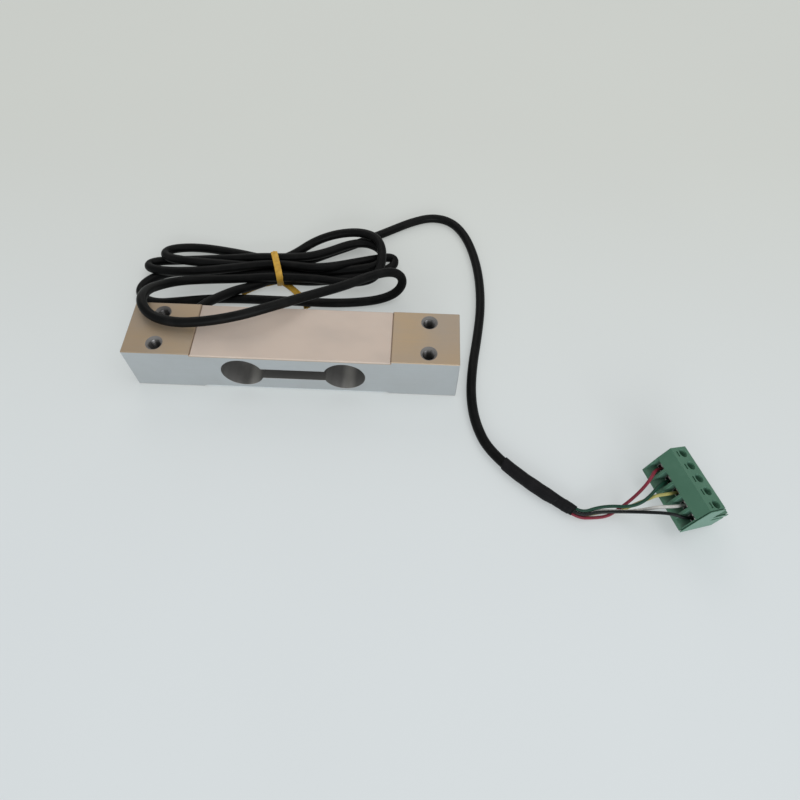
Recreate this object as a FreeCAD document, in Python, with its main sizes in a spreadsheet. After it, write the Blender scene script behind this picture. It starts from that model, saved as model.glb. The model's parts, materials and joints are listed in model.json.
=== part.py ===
"""Single point load cell with its coiled cable and five pole terminal plug.

Units are millimetres. The origin is the centre of the beam's underside, +X runs
along the beam towards its load end, +Y towards the side the cable leaves, +Z up.
"""
import FreeCAD, Part
import math
import os

import Sketcher

Vector = FreeCAD.Vector
ZERO = Vector(0, 0, 0)
UP = Vector(0, 0, 1)

doc = FreeCAD.newDocument("LoadCell")
sheet = doc.addObject("Spreadsheet::Sheet", "Dimensions")

# ---------------------------------------------------------------- dimensions
# Each row: alias, value, what it is.
DIMENSIONS = [
    ("beam_length", 130.0, "beam, end to end"),
    ("beam_width", 25.0, "beam, across"),
    ("beam_height", 22.0, "beam, tall"),
    ("pad_length", 26.4, "mounting pad at each end"),
    ("relief_depth", 1.1, "relief between the pads, above and below"),
    ("relief_ramp", 2.0, "slope that ends the lower relief"),
    ("edge_break", 0.3, "broken edge of the pads"),
    ("lobe_radius", 8.3, "round end of the flexure opening"),
    ("lobe_offset", 20.2, "round end's centre from the beam's middle"),
    ("slot_height", 6.0, "slot between the round ends"),
    ("mount_inset", 12.0, "mounting holes from the beam's end"),
    ("mount_pitch", 15.0, "mounting holes, pair apart"),
    ("tap_radius", 2.5, "wall of the M6 thread's core"),
    ("tap_mouth", 0.8, "chamfer at each thread's mouth"),
    ("bore_inset", 18.5, "cable bore from the beam's end"),
    ("bore_radius", 2.6, "cable bore"),
    ("bore_past", 2.8, "cable bore, past the beam's middle plane"),
    ("seal_seat_radius", 3.2, "seat of the cable seal"),
    ("seal_seat_depth", 2.4, "seat of the cable seal, deep"),
    ("seal_recess", 0.3, "cable seal below the back face"),
    ("seal_slip", 0.3, "cable seal's clearance round the cable"),
    ("passage_radius", 2.0, "slanted wire passage"),
    ("passage_set", 1.0, "slanted passage's foot from the bore's middle"),
    ("riser_radius", 1.2, "upright wire hole"),
    ("riser_set", 3.6, "upright wire hole from the slanted passage's mouth"),
    ("pocket_length", 24.0, "seat of the bridge board"),
    ("pocket_width", 14.0, "seat of the bridge board, across"),
    ("board_thick", 1.0, "bridge board, and its seat's depth"),
    ("board_slip", 0.2, "bridge board's clearance in its seat"),
    ("seal_thick", 0.65, "silicone over each relief"),
    ("seal_round", 0.45, "rounded edge of the silicone"),
    ("seal_gap", 0.1, "silicone's clearance to the pads"),
    ("gauge_length", 8.0, "strain gauge carrier"),
    ("gauge_width", 5.0, "strain gauge carrier, across"),
    ("gauge_thick", 0.1, "strain gauge carrier, thick"),
    ("bump_high", 0.5, "solder bump, above its surface"),
    ("bump_size", 0.9, "solder bump"),
    ("bump_offset", 1.2, "gauge's solder bumps from its middle line"),
    ("lead_radius", 0.2, "fine lead under the silicone"),
    ("lead_rise", 0.25, "fine lead's centre above its surface"),
    ("lead_bend", 0.5, "fine lead's bend"),
    ("chip_length", 1.6, "trimming resistor"),
    ("chip_width", 0.8, "trimming resistor, across"),
    ("chip_high", 0.45, "trimming resistor, high"),
    ("cable_radius", 2.0, "cable jacket"),
    ("core_radius", 0.6, "insulated core"),
    ("core_ring", 1.2, "cores' circle in the cable"),
    ("sleeve_radius", 2.45, "first shrink sleeve, outside"),
    ("sleeve_two_radius", 2.3, "second shrink sleeve, outside"),
    ("hank_high", 8.4, "coiled bundle, tall"),
    ("hank_round", 2.4, "coiled bundle's rounded edge"),
    ("tie_width", 2.8, "flat tie"),
    ("tie_thick", 0.9, "flat tie, thick"),
    ("tie_half", 8.4, "tie's half length inside, across the bundle"),
    ("tie_inner_high", 7.3, "tie's height inside"),
    ("tie_round", 1.9, "tie's inner corner"),
    ("tie_tail_one", 19.0, "right tail"),
    ("tie_tail_two", 17.6, "left tail"),
    ("pole_pitch", 5.08, "plug's poles apart"),
    ("plug_poles", 5.0, "plug's poles"),
    ("plug_depth", 18.1, "plug, wire side to contact side"),
    ("plug_high", 15.1, "plug, tall"),
    ("plug_step", 8.4, "plug's contact part, tall"),
    ("plug_back", 8.7, "screw part, deep"),
    ("plate_thick", 0.3, "end plate"),
    ("plate_groove", 0.3, "groove between end plate and housing"),
    ("plate_inset", 0.6, "groove's depth"),
    ("cage_front", 3.5, "cage's front"),
    ("cage_back", 7.5, "cage's back"),
    ("cage_half", 1.8, "cage, half across"),
    ("cage_low", 3.8, "cage's underside"),
    ("cage_top", 9.4, "cage's top"),
    ("cage_wall", 0.5, "cage's wall"),
    ("cavity_slip", 0.1, "clearance of metal pieces in the housing"),
    ("wire_level", 5.0, "clamped core's centre"),
    ("screw_offset", 5.1, "clamp screw from the wire side"),
    ("shaft_radius", 1.7, "screwdriver shaft"),
    ("screw_head_radius", 1.55, "clamp screw's head"),
    ("screw_head_high", 2.0, "clamp screw's head, high"),
    ("screw_radius", 1.25, "clamp screw's shank"),
    ("screw_slot", 0.6, "clamp screw's slot"),
    ("tongue_thick", 0.7, "contact's tongue"),
    ("tongue_half", 1.1, "contact's tongue, half across"),
    ("socket_half", 1.25, "contact's sleeve, half across"),
    ("socket_low", 3.0, "contact's sleeve, underside"),
    ("socket_wall", 0.35, "contact's sleeve, wall"),
    ("socket_front", 9.7, "contact's riser"),
    ("socket_end", 16.5, "contact's sleeve, end"),
]

for row, (alias, value, note) in enumerate(DIMENSIONS, start=1):
    sheet.set("A%d" % row, alias)
    sheet.set("B%d" % row, "%g" % value)
    sheet.set("C%d" % row, note)
    sheet.setAlias("B%d" % row, alias)
doc.recompute()


def size(alias):
    """Reads one driving dimension back from the sheet."""
    return float(sheet.get(alias))


# ------------------------------------------------------------------- helpers
def dim(text):
    """Turns @alias in an expression into a reference to the sheet."""
    return text.replace("@", "Dimensions.")


def origin_plane(body, role):
    """Finds one of the body's own origin planes."""
    for feature in body.Origin.OriginFeatures:
        if feature.Role == role:
            return feature
    raise ValueError(role)


def new_body(label, placement=None):
    """Starts a PartDesign body that becomes the node of this name."""
    body = doc.addObject("PartDesign::Body", label)
    body.Label = label
    if placement is not None:
        body.Placement = placement
    return body


def new_sketch(body, name, role, offset="0"):
    """Lays a sketch on an origin plane, raised by an expression."""
    sketch = body.newObject("Sketcher::SketchObject", body.Name + "_" + name)
    sketch.AttachmentSupport = (origin_plane(body, role), "")
    sketch.MapMode = "FlatFace"
    if offset != "0":
        sketch.setExpression("AttachmentOffset.Base.z", dim(offset))
    return sketch


def hold(sketch, kind, geometry, vertex, rough, name, expression):
    """Adds a driving constraint that follows an expression of the sheet."""
    if kind == "Radius":
        constraint = Sketcher.Constraint(kind, geometry, rough)
    else:
        constraint = Sketcher.Constraint(kind, -1, 1, geometry, vertex, rough)
    index = sketch.addConstraint(constraint)
    sketch.renameConstraint(index, name)
    sketch.setExpression("Constraints." + name, dim(expression))


def draw_polygon(sketch, corners):
    """Draws a closed outline whose corners follow the sheet."""
    first = sketch.GeometryCount
    count = len(corners)
    rough = []
    for i in range(count):
        turn = 2 * math.pi * i / count
        rough.append(Vector(40 + 9 * math.cos(turn), 30 + 9 * math.sin(turn), 0))
    for i in range(count):
        sketch.addGeometry(Part.LineSegment(rough[i], rough[(i + 1) % count]), False)
    for i in range(count):
        joint = Sketcher.Constraint("Coincident", first + i, 2, first + (i + 1) % count, 1)
        sketch.addConstraint(joint)
    for i, (across, along) in enumerate(corners):
        tag = "%d_%d" % (first, i)
        hold(sketch, "DistanceX", first + i, 1, rough[i].x, "x" + tag, across)
        hold(sketch, "DistanceY", first + i, 1, rough[i].y, "y" + tag, along)


def draw_rectangle(sketch, low_u, high_u, low_v, high_v):
    """Draws a rectangle between four expressions."""
    draw_polygon(sketch, [(low_u, low_v), (high_u, low_v), (high_u, high_v), (low_u, high_v)])


def draw_circle(sketch, across, along, radius):
    """Draws a circle whose centre and radius follow the sheet."""
    index = sketch.addGeometry(Part.Circle(Vector(1, 1, 0), UP, 1), False)
    hold(sketch, "DistanceX", index, 3, 1, "cx%d" % index, across)
    hold(sketch, "DistanceY", index, 3, 1, "cy%d" % index, along)
    hold(sketch, "Radius", index, 0, 1, "r%d" % index, radius)


def extrude(body, sketch, kind, length, side="One side", reverse=False):
    """Pads or pockets a sketch and proves that the volume went the right way."""
    before = body.Shape.Volume if body.Tip else 0.0
    feature = body.newObject("PartDesign::" + kind, sketch.Name + "_" + kind.lower())
    feature.Profile = sketch
    feature.SideType = side
    feature.Reversed = reverse
    feature.setExpression("Length", dim(length))
    doc.recompute()
    after = body.Shape.Volume
    if kind == "Pad" and after <= before + 1e-6:
        raise RuntimeError(feature.Name + " adds nothing")
    if kind == "Pocket" and after >= before - 1e-6:
        raise RuntimeError(feature.Name + " cuts nothing")
    return feature


def dress(body, kind, name, expression, chosen):
    """Fillets or chamfers the edges of the tip that a test picks."""
    base = body.Tip
    names = []
    for index, edge in enumerate(base.Shape.Edges, start=1):
        if chosen(edge):
            names.append("Edge%d" % index)
    if not names:
        raise RuntimeError(body.Name + " " + name + " finds no edge")
    feature = body.newObject("PartDesign::" + kind, body.Name + "_" + name)
    feature.Base = (base, names)
    feature.setExpression("Radius" if kind == "Fillet" else "Size", dim(expression))
    doc.recompute()
    return feature


def is_line(edge):
    """Tells whether an edge is straight."""
    return edge.Curve.TypeId == "Part::GeomLine"


def ends(edge):
    """Gives an edge's two end points."""
    return [vertex.Point for vertex in edge.Vertexes]


def bend_radius(before, corner, after):
    """Gives the arc that two runs of a route allow at their corner."""
    back = before.sub(corner)
    ahead = after.sub(corner)
    half_turn = (math.pi - back.getAngle(ahead)) / 2
    return 0.45 * min(back.Length, ahead.Length) / math.tan(half_turn)


def route_wire(points, radii):
    """Joins the straight runs of a route with tangent arcs."""
    edges = []
    start = points[0]
    for i in range(1, len(points) - 1):
        corner = points[i]
        back = points[i - 1].sub(corner).normalize()
        ahead = points[i + 1].sub(corner).normalize()
        half_turn = (math.pi - back.getAngle(ahead)) / 2
        reach = radii[i - 1] * math.tan(half_turn)
        inward = back.add(ahead).normalize()
        depth = radii[i - 1] / math.cos(half_turn) - radii[i - 1]
        enter = corner.add(Vector(back).multiply(reach))
        leave = corner.add(Vector(ahead).multiply(reach))
        middle = corner.add(inward.multiply(depth))
        if enter.sub(start).Length > 1e-4:
            edges.append(Part.LineSegment(start, enter).toShape())
        edges.append(Part.Arc(enter, middle, leave).toShape())
        start = leave
    edges.append(Part.LineSegment(start, points[-1]).toShape())
    return Part.Wire(edges)


def round_tube(points, section_radius, radii=None):
    """Sweeps a round section along a route; checks volume against length."""
    if radii is None:
        radii = []
        for i in range(1, len(points) - 1):
            radii.append(bend_radius(points[i - 1], points[i], points[i + 1]))
    wire = route_wire(points, radii)
    heading = points[1].sub(points[0])
    ring = Part.Wire([Part.Circle(points[0], heading, section_radius).toShape()])
    solid = wire.makePipeShell([ring], True, False)
    if solid.Volume < 0:
        solid.reverse()
    expected = math.pi * section_radius ** 2 * wire.Length
    if abs(solid.Volume / expected - 1) > 0.01:
        raise RuntimeError("tube volume %.2f, expected %.2f" % (solid.Volume, expected))
    return solid, wire.Length, radii


def feature_of(label, shape, placement=None):
    """Stores a shape that no single modelling feature makes."""
    item = doc.addObject("Part::Feature", label)
    item.Label = label
    item.Shape = shape
    if placement is not None:
        item.Placement = placement
    return item


def cord(label, route, section_radius):
    """Makes one tube of a free cord and prints its length and bends."""
    points = [Vector(*point) for point in route]
    solid, length, radii = round_tube(points, section_radius)
    diameter = 2 * section_radius
    tight = min(radii) / diameter
    text = ", ".join("%.0f" % radius for radius in radii)
    print("%s: length %.1f, tightest %.1f diameters, radii %s" % (label, length, tight, text))
    return feature_of(label, solid)


def fine_lead(label, route):
    """Makes one fine lead with small set bends."""
    points = [Vector(*point) for point in route]
    radii = [size("lead_bend")] * (len(points) - 2)
    solid, length, used = round_tube(points, size("lead_radius"), radii)
    return feature_of(label, solid)


def carve(label, base, tools):
    """Cuts other pieces out of a soft one, so that they meet face to face."""
    group = doc.addObject("Part::Compound", label + "_tools")
    group.Links = tools
    cut = doc.addObject("Part::Cut", label)
    cut.Base = base
    cut.Tool = group
    cut.Label = label
    return cut


NODES = []


def node(item):
    """Puts a finished piece on the list that is written out."""
    NODES.append(item)
    return item


# ---------------------------------------------------------------------- beam
# One block of aluminium. Its reliefs leave a pad at each end, and the dog bone
# opening leaves four thin flexures, over and under each round end.
beam = new_body("beam")
side = new_sketch(beam, "side", "XZ_Plane")
pad_in = "(@beam_length / 2 - @pad_length)"
mount_x = "(@beam_length / 2 - @mount_inset)"
bore_x = "(@beam_length / 2 - @bore_inset)"
mouth_x = "(" + bore_x + " - @passage_set - @beam_height / 2 + @relief_depth)"
riser_way = "(" + mouth_x + " - @riser_set)"
BORE_X = size("beam_length") / 2 - size("bore_inset")
draw_polygon(side, [
    ("-@beam_length / 2", "0"),
    ("-" + pad_in, "0"),
    ("-" + pad_in + " + @relief_ramp", "@relief_depth"),
    (pad_in + " - @relief_ramp", "@relief_depth"),
    (pad_in, "0"),
    ("@beam_length / 2", "0"),
    ("@beam_length / 2", "@beam_height"),
    (pad_in, "@beam_height"),
    (pad_in, "@beam_height - @relief_depth"),
    ("-" + pad_in, "@beam_height - @relief_depth"),
    ("-" + pad_in, "@beam_height"),
    ("-@beam_length / 2", "@beam_height"),
])
extrude(beam, side, "Pad", "@beam_width", "Symmetric")

lobes = new_sketch(beam, "lobes", "XZ_Plane")
draw_circle(lobes, "-@lobe_offset", "@beam_height / 2", "@lobe_radius")
draw_circle(lobes, "@lobe_offset", "@beam_height / 2", "@lobe_radius")
extrude(beam, lobes, "Pocket", "@beam_width + 2", "Symmetric")
slot = new_sketch(beam, "slot", "XZ_Plane")
draw_rectangle(
    slot,
    "-@lobe_offset", "@lobe_offset",
    "@beam_height / 2 - @slot_height / 2", "@beam_height / 2 + @slot_height / 2",
)
extrude(beam, slot, "Pocket", "@beam_width + 2", "Symmetric")

taps = new_sketch(beam, "taps", "XY_Plane")
for end in ("-", ""):
    for hand in ("-", ""):
        draw_circle(taps, end + mount_x, hand + "@mount_pitch / 2", "@tap_radius")
extrude(beam, taps, "Pocket", "2 * @beam_height + 2", "Symmetric")


def tap_mouth(edge):
    """Picks the rims of the threaded holes on the pads."""
    if edge.Curve.TypeId != "Part::GeomCircle":
        return False
    level = edge.Curve.Center.z
    outer = min(abs(level), abs(level - size("beam_height")))
    return outer < 1e-6 and abs(edge.Curve.Radius - size("tap_radius")) < 1e-6


def pad_rim(edge):
    """Picks the outer edges of the two pads."""
    if not is_line(edge):
        return False
    first, last = ends(edge)
    half = size("beam_length") / 2
    tall = size("beam_height")
    on_top = abs(first.z - tall) < 1e-6 and abs(last.z - tall) < 1e-6
    on_foot = abs(first.z) < 1e-6 and abs(last.z) < 1e-6
    at_end = abs(abs(first.x) - half) < 1e-6 and abs(abs(last.x) - half) < 1e-6
    return on_top or (on_foot and abs(first.x - last.x) > 1e-6) or at_end


dress(beam, "Chamfer", "mouths", "@tap_mouth", tap_mouth)
dress(beam, "Chamfer", "rims", "@edge_break", pad_rim)

# The cable comes in through the back face; the seal sits in its wider mouth.
bore = new_sketch(beam, "bore", "XZ_Plane", "-@beam_width / 2")
draw_circle(bore, "-" + bore_x, "@beam_height / 2", "@bore_radius")
extrude(beam, bore, "Pocket", "@beam_width / 2 + @bore_past", "One side", True)
seat = new_sketch(beam, "seat", "XZ_Plane", "-@beam_width / 2")
draw_circle(seat, "-" + bore_x, "@beam_height / 2", "@seal_seat_radius")
extrude(beam, seat, "Pocket", "@seal_seat_depth", "One side", True)

# A slanted passage leads the cable's cores up to the relief, and an upright
# hole lets the lower gauges' leads through beside the flexure opening.
passage = beam.newObject("PartDesign::SubtractiveCylinder", "beam_passage")
passage.AttachmentSupport = (origin_plane(beam, "XY_Plane"), "")
passage.MapMode = "FlatFace"
slant = FreeCAD.Rotation(Vector(0, 1, 0), -135)
passage.AttachmentOffset = FreeCAD.Placement(ZERO, slant)
passage.setExpression("AttachmentOffset.Base.x", dim("2 - " + mouth_x))
passage.setExpression("AttachmentOffset.Base.z", dim("@beam_height - @relief_depth + 2"))
passage.setExpression("Radius", dim("@passage_radius"))
passage.setExpression("Height", dim("(@beam_height / 2 - @relief_depth + 2) * 1.4142"))
doc.recompute()
riser = new_sketch(beam, "riser", "XY_Plane")
draw_circle(riser, "-" + riser_way, "0", "@riser_radius")
extrude(beam, riser, "Pocket", "2 * @beam_height + 2", "Symmetric")
recess = new_sketch(beam, "recess", "XY_Plane", "@beam_height - @relief_depth")
draw_rectangle(
    recess,
    "-@pocket_length / 2", "@pocket_length / 2",
    "-@pocket_width / 2", "@pocket_width / 2",
)
extrude(beam, recess, "Pocket", "@board_thick")
node(beam)

RELIEF_TOP = size("beam_height") - size("relief_depth")
RELIEF_FOOT = size("relief_depth")
LEAD_TOP = RELIEF_TOP + size("lead_rise")
LEAD_FOOT = RELIEF_FOOT - size("lead_rise")


# ---------------------------------------------------- gauges, board and leads
def strain_gauge(label, placement):
    """Makes a foil gauge on its carrier, with two solder bumps at one end."""
    body = new_body(label, placement)
    carrier = new_sketch(body, "carrier", "XY_Plane")
    draw_rectangle(
        carrier,
        "-@gauge_length / 2", "@gauge_length / 2",
        "-@gauge_width / 2", "@gauge_width / 2",
    )
    extrude(body, carrier, "Pad", "@gauge_thick")
    bumps = new_sketch(body, "bumps", "XY_Plane")
    for hand in ("-", ""):
        draw_rectangle(
            bumps,
            "@gauge_length / 2 - @bump_size", "@gauge_length / 2",
            hand + "@bump_offset - @bump_size / 2", hand + "@bump_offset + @bump_size / 2",
        )
    extrude(body, bumps, "Pad", "@bump_high")
    return node(body)


lobe_x = size("lobe_offset")
turned = FreeCAD.Rotation(UP, 180)
flipped = FreeCAD.Rotation(Vector(0, 1, 0), 180)
gauge_top_left = strain_gauge(
    "gauge_top_left", FreeCAD.Placement(Vector(-lobe_x, 0, RELIEF_TOP), FreeCAD.Rotation()))
gauge_top_right = strain_gauge(
    "gauge_top_right", FreeCAD.Placement(Vector(lobe_x, 0, RELIEF_TOP), turned))
gauge_bottom_left = strain_gauge(
    "gauge_bottom_left", FreeCAD.Placement(Vector(-lobe_x, 0, RELIEF_FOOT), flipped))
gauge_bottom_right = strain_gauge(
    "gauge_bottom_right", FreeCAD.Placement(Vector(lobe_x, 0, RELIEF_FOOT), flipped))

# The board lies flush in its recess. Every lead ends on a bump of its own.
TRACKS = {
    "lead_red": 5.6, "lead_white": 4.9, "lead_black": 4.2,
    "lead_green": -4.2, "lead_yellow": -4.9,
    "lead_bottom_1": 3.5, "lead_bottom_2": 2.9,
    "lead_bottom_3": -2.9, "lead_bottom_4": -3.5,
}
BUMP_HALF = 0.24
BOARD_EDGE = 11.6
board = new_body("bridge_board", FreeCAD.Placement(Vector(0, 0, RELIEF_TOP), FreeCAD.Rotation()))
plate = new_sketch(board, "plate", "XY_Plane", "-@board_thick")
draw_rectangle(
    plate,
    "-@pocket_length / 2 + @board_slip", "@pocket_length / 2 - @board_slip",
    "-@pocket_width / 2 + @board_slip", "@pocket_width / 2 - @board_slip",
)
extrude(board, plate, "Pad", "@board_thick")
joints = new_sketch(board, "joints", "XY_Plane")
for track in TRACKS.values():
    draw_rectangle(
        joints, "-%g" % BOARD_EDGE, "-%g + @bump_size" % BOARD_EDGE,
        "%g" % (track - BUMP_HALF), "%g" % (track + BUMP_HALF))
for hand in ("-", ""):
    low = hand + "@bump_offset - %g" % BUMP_HALF
    high = hand + "@bump_offset + %g" % BUMP_HALF
    draw_rectangle(joints, "-%g" % BOARD_EDGE, "-%g + @bump_size" % BOARD_EDGE, low, high)
    draw_rectangle(joints, "%g - @bump_size" % BOARD_EDGE, "%g" % BOARD_EDGE, low, high)
extrude(board, joints, "Pad", "@bump_high")
node(board)

chips = []
for index, (chip_x, chip_y) in enumerate([(-3.4, 2.2), (0.6, -1.8), (4.4, 2.2)], start=1):
    spot = FreeCAD.Placement(Vector(chip_x, chip_y, RELIEF_TOP), FreeCAD.Rotation())
    chip = new_body("trim_resistor_%d" % index, spot)
    face = new_sketch(chip, "face", "XY_Plane")
    draw_rectangle(
        face, "-@chip_length / 2", "@chip_length / 2", "-@chip_width / 2", "@chip_width / 2")
    extrude(chip, face, "Pad", "@chip_high")
    chips.append(node(chip))

gauge_end = lobe_x - size("gauge_length") / 2
bump_y = size("bump_offset")
jumpers = []
for name, hand_x, hand_y in (
    ("jumper_left_1", -1, 1), ("jumper_left_2", -1, -1),
    ("jumper_right_1", 1, 1), ("jumper_right_2", 1, -1),
):
    start = (hand_x * gauge_end, hand_y * bump_y, LEAD_TOP)
    stop = (hand_x * BOARD_EDGE, hand_y * bump_y, LEAD_TOP)
    jumpers.append(node(fine_lead(name, [start, stop])))

# The five cores fan out of the passage: each turns into it in step with its
# place in the bore, so that none crosses another.
CORE_PLACES = [
    ("lead_red", 0.6, 1.4), ("lead_white", -0.1, 0.7), ("lead_black", -0.8, 0.0),
    ("lead_green", -1.5, -0.7), ("lead_yellow", -2.2, -1.4),
]
BORE_MIDDLE = size("beam_height") / 2
JACKET_END = 3.0
PASSAGE_SIDE = -0.6
passage_axis = size("passage_set") - BORE_X
leads_top = []
for name, along, cross in CORE_PLACES:
    start_x = passage_axis + (PASSAGE_SIDE + along) / math.sqrt(2)
    start_z = BORE_MIDDLE + (along - PASSAGE_SIDE) / math.sqrt(2)
    top_x = start_x + LEAD_TOP - start_z
    track = TRACKS[name]
    leads_top.append(node(fine_lead(name, [
        (start_x, JACKET_END, start_z),
        (start_x, cross, start_z),
        (top_x, cross, LEAD_TOP),
        (top_x + 6.0, track, LEAD_TOP),
        (-BOARD_EDGE, track, LEAD_TOP),
    ])))

# The lower gauges' leads run along the lower relief, rise through the upright
# hole and land beside the cores.
riser_x = BORE_X - size("passage_set") - (RELIEF_TOP - BORE_MIDDLE) - size("riser_set")
GAUGE_PASS = 3.4
RISER_STEP = 0.4
leads_bottom = []
for name, hand in (("lead_bottom_2", 1), ("lead_bottom_3", -1)):
    near_x = -riser_x + RISER_STEP
    leads_bottom.append(node(fine_lead(name, [
        (-lobe_x - size("gauge_length") / 2, hand * bump_y, LEAD_FOOT),
        (near_x + 2.0, hand * bump_y, LEAD_FOOT),
        (near_x, hand * RISER_STEP, LEAD_FOOT),
        (near_x, hand * RISER_STEP, LEAD_TOP),
        (near_x + 2.4, TRACKS[name], LEAD_TOP),
        (-BOARD_EDGE, TRACKS[name], LEAD_TOP),
    ])))
for name, hand in (("lead_bottom_1", 1), ("lead_bottom_4", -1)):
    far_x = -riser_x - RISER_STEP
    leads_bottom.append(node(fine_lead(name, [
        (gauge_end, hand * bump_y, LEAD_FOOT),
        (gauge_end - 4.0, hand * bump_y, LEAD_FOOT),
        (gauge_end - 8.0, hand * GAUGE_PASS, LEAD_FOOT),
        (-lobe_x - 6.2, hand * GAUGE_PASS, LEAD_FOOT),
        (far_x, hand * RISER_STEP, LEAD_FOOT),
        (far_x, hand * RISER_STEP, LEAD_TOP),
        (far_x + 2.8, TRACKS[name], LEAD_TOP),
        (-BOARD_EDGE, TRACKS[name], LEAD_TOP),
    ])))


# --------------------------------------------------------------------- seals
def long_edge(level):
    """Makes a test for the silicone's outer long edges at one level."""
    def chosen(edge):
        if not is_line(edge):
            return False
        first, last = ends(edge)
        half = size("beam_width") / 2
        flat = abs(first.z - level) < 1e-6 and abs(last.z - level) < 1e-6
        return flat and (abs(abs(first.y) - half) < 1e-6 or abs(first.x - last.x) < 1e-6)
    return chosen


top_layer = new_body("top_seal_layer")
spread = new_sketch(top_layer, "spread", "XY_Plane", "@beam_height - @relief_depth")
draw_rectangle(
    spread,
    "-" + pad_in + " + @seal_gap", pad_in + " - @seal_gap",
    "-@beam_width / 2", "@beam_width / 2",
)
extrude(top_layer, spread, "Pad", "@seal_thick")
dress(top_layer, "Fillet", "soft", "@seal_round", long_edge(RELIEF_TOP + size("seal_thick")))
fill = new_sketch(top_layer, "fill", "XY_Plane", "@beam_height - @relief_depth")
draw_rectangle(
    fill,
    "-@pocket_length / 2", "@pocket_length / 2", "-@pocket_width / 2", "@pocket_width / 2")
extrude(top_layer, fill, "Pad", "@board_thick", "One side", True)
top_seal = node(carve(
    "top_seal", top_layer,
    [gauge_top_left, gauge_top_right, board] + chips + jumpers + leads_top + leads_bottom))

bottom_layer = new_body("bottom_seal_layer")
under = new_sketch(bottom_layer, "under", "XY_Plane", "@relief_depth - @seal_thick")
draw_rectangle(
    under,
    "-" + pad_in + " + @relief_ramp + @seal_gap", pad_in + " - @relief_ramp - @seal_gap",
    "-@beam_width / 2", "@beam_width / 2",
)
extrude(bottom_layer, under, "Pad", "@seal_thick")
dress(bottom_layer, "Fillet", "soft", "@seal_round", long_edge(RELIEF_FOOT - size("seal_thick")))
bottom_seal = node(carve(
    "bottom_seal", bottom_layer, [gauge_bottom_left, gauge_bottom_right] + leads_bottom))

# ---------------------------------------------------------------- cable seal
gland = new_body("cable_seal")
washer = new_sketch(gland, "washer", "XZ_Plane", "-@beam_width / 2 + @seal_recess")
draw_circle(washer, "-" + bore_x, "@beam_height / 2", "@seal_seat_radius")
draw_circle(washer, "-" + bore_x, "@beam_height / 2", "@cable_radius + @seal_slip")
extrude(gland, washer, "Pad", "@seal_seat_depth - @seal_recess")
node(gland)

# --------------------------------------------------------------------- cable
# The cable leaves the back face, goes through a flat figure of eight bundle
# that the tie holds, runs once round the beam, and leads out to the plug.
LEAD_IN = [
    (-BORE_X, JACKET_END, BORE_MIDDLE),
    (-46.5, 14.0, 11.0), (-43.2, 23.4, 10.4), (-36.6, 31.6, 8.6),
    (-28.0, 38.6, 5.6), (-18.2, 44.6, 3.6),
]
LOOSE_LOOP = [
    (-60.0, 47.4, 2.6), (-67.4, 46.0, 2.3), (-73.8, 42.4, 2.1), (-76.9, 36.6, 2.1),
    (-74.4, 31.0, 2.1), (-67.0, 28.4, 2.1), (-57.0, 30.0, 2.1), (-44.0, 32.2, 2.1),
    (-31.0, 32.8, 2.6), (-16.0, 31.8, 3.4), (-2.0, 32.2, 3.4), (11.0, 33.0, 2.5),
    (22.0, 34.2, 2.1), (31.4, 35.6, 2.4), (38.2, 37.8, 3.8), (41.4, 40.2, 7.4),
    (40.6, 41.7, 11.4), (36.2, 41.3, 14.2), (28.4, 36.8, 16.4), (16.8, 27.2, 19.2),
    (4.0, 17.7, 23.6), (-8.0, 9.2, 26.8), (-21.0, 3.4, 26.8), (-34.0, 0.9, 25.6),
    (-46.0, 0.2, 24.9), (-56.2, 2.8, 25.2), (-62.2, 9.2, 25.6), (-65.4, 19.0, 21.2),
    (-64.4, 28.8, 14.2), (-58.4, 35.8, 8.8), (-49.6, 41.4, 6.6), (-42.4, 46.2, 6.0),
]
LEAD_OUT = [
    (16.0, 68.0, 2.0), (24.4, 73.2, 2.0), (34.0, 79.2, 2.0), (44.0, 85.6, 2.0),
    (54.0, 89.4, 2.0), (63.2, 87.0, 2.0), (69.6, 78.6, 2.0), (73.8, 66.0, 2.0),
    (76.2, 50.4, 2.0), (76.4, 33.0, 2.0), (74.4, 16.4, 2.0), (71.9, 0.6, 2.0),
    (71.0, -14.0, 2.0), (72.8, -27.0, 2.0), (78.0, -38.9, 2.5), (93.9, -52.7, 2.5),
    (107.4, -61.1, 2.5),
]
cable_radius = size("cable_radius")
cable_lead_in = node(cord("cable_lead_in", LEAD_IN, cable_radius))
cable_loose_loop = node(cord("cable_loose_loop", LOOSE_LOOP, cable_radius))
cable_lead_out = node(cord("cable_lead_out", LEAD_OUT, cable_radius))

# The tie: a flat band round the bundle's waist, its two ends on the floor.
TIE_MIDDLE = Vector(-16.5, 51.1, 0)
TIE_TURN = 18.0
tie = new_body("cable_tie", FreeCAD.Placement(TIE_MIDDLE, FreeCAD.Rotation(UP, TIE_TURN)))
band = new_sketch(tie, "band", "YZ_Plane")
draw_rectangle(
    band, "-@tie_half - @tie_thick", "@tie_half + @tie_thick",
    "0", "@tie_inner_high + 2 * @tie_thick")
extrude(tie, band, "Pad", "@tie_width", "Symmetric")


def across_band(edge):
    """Picks the straight edges that cross the band's width."""
    if not is_line(edge):
        return False
    first, last = ends(edge)
    return abs(first.y - last.y) < 1e-6 and abs(first.z - last.z) < 1e-6


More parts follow.
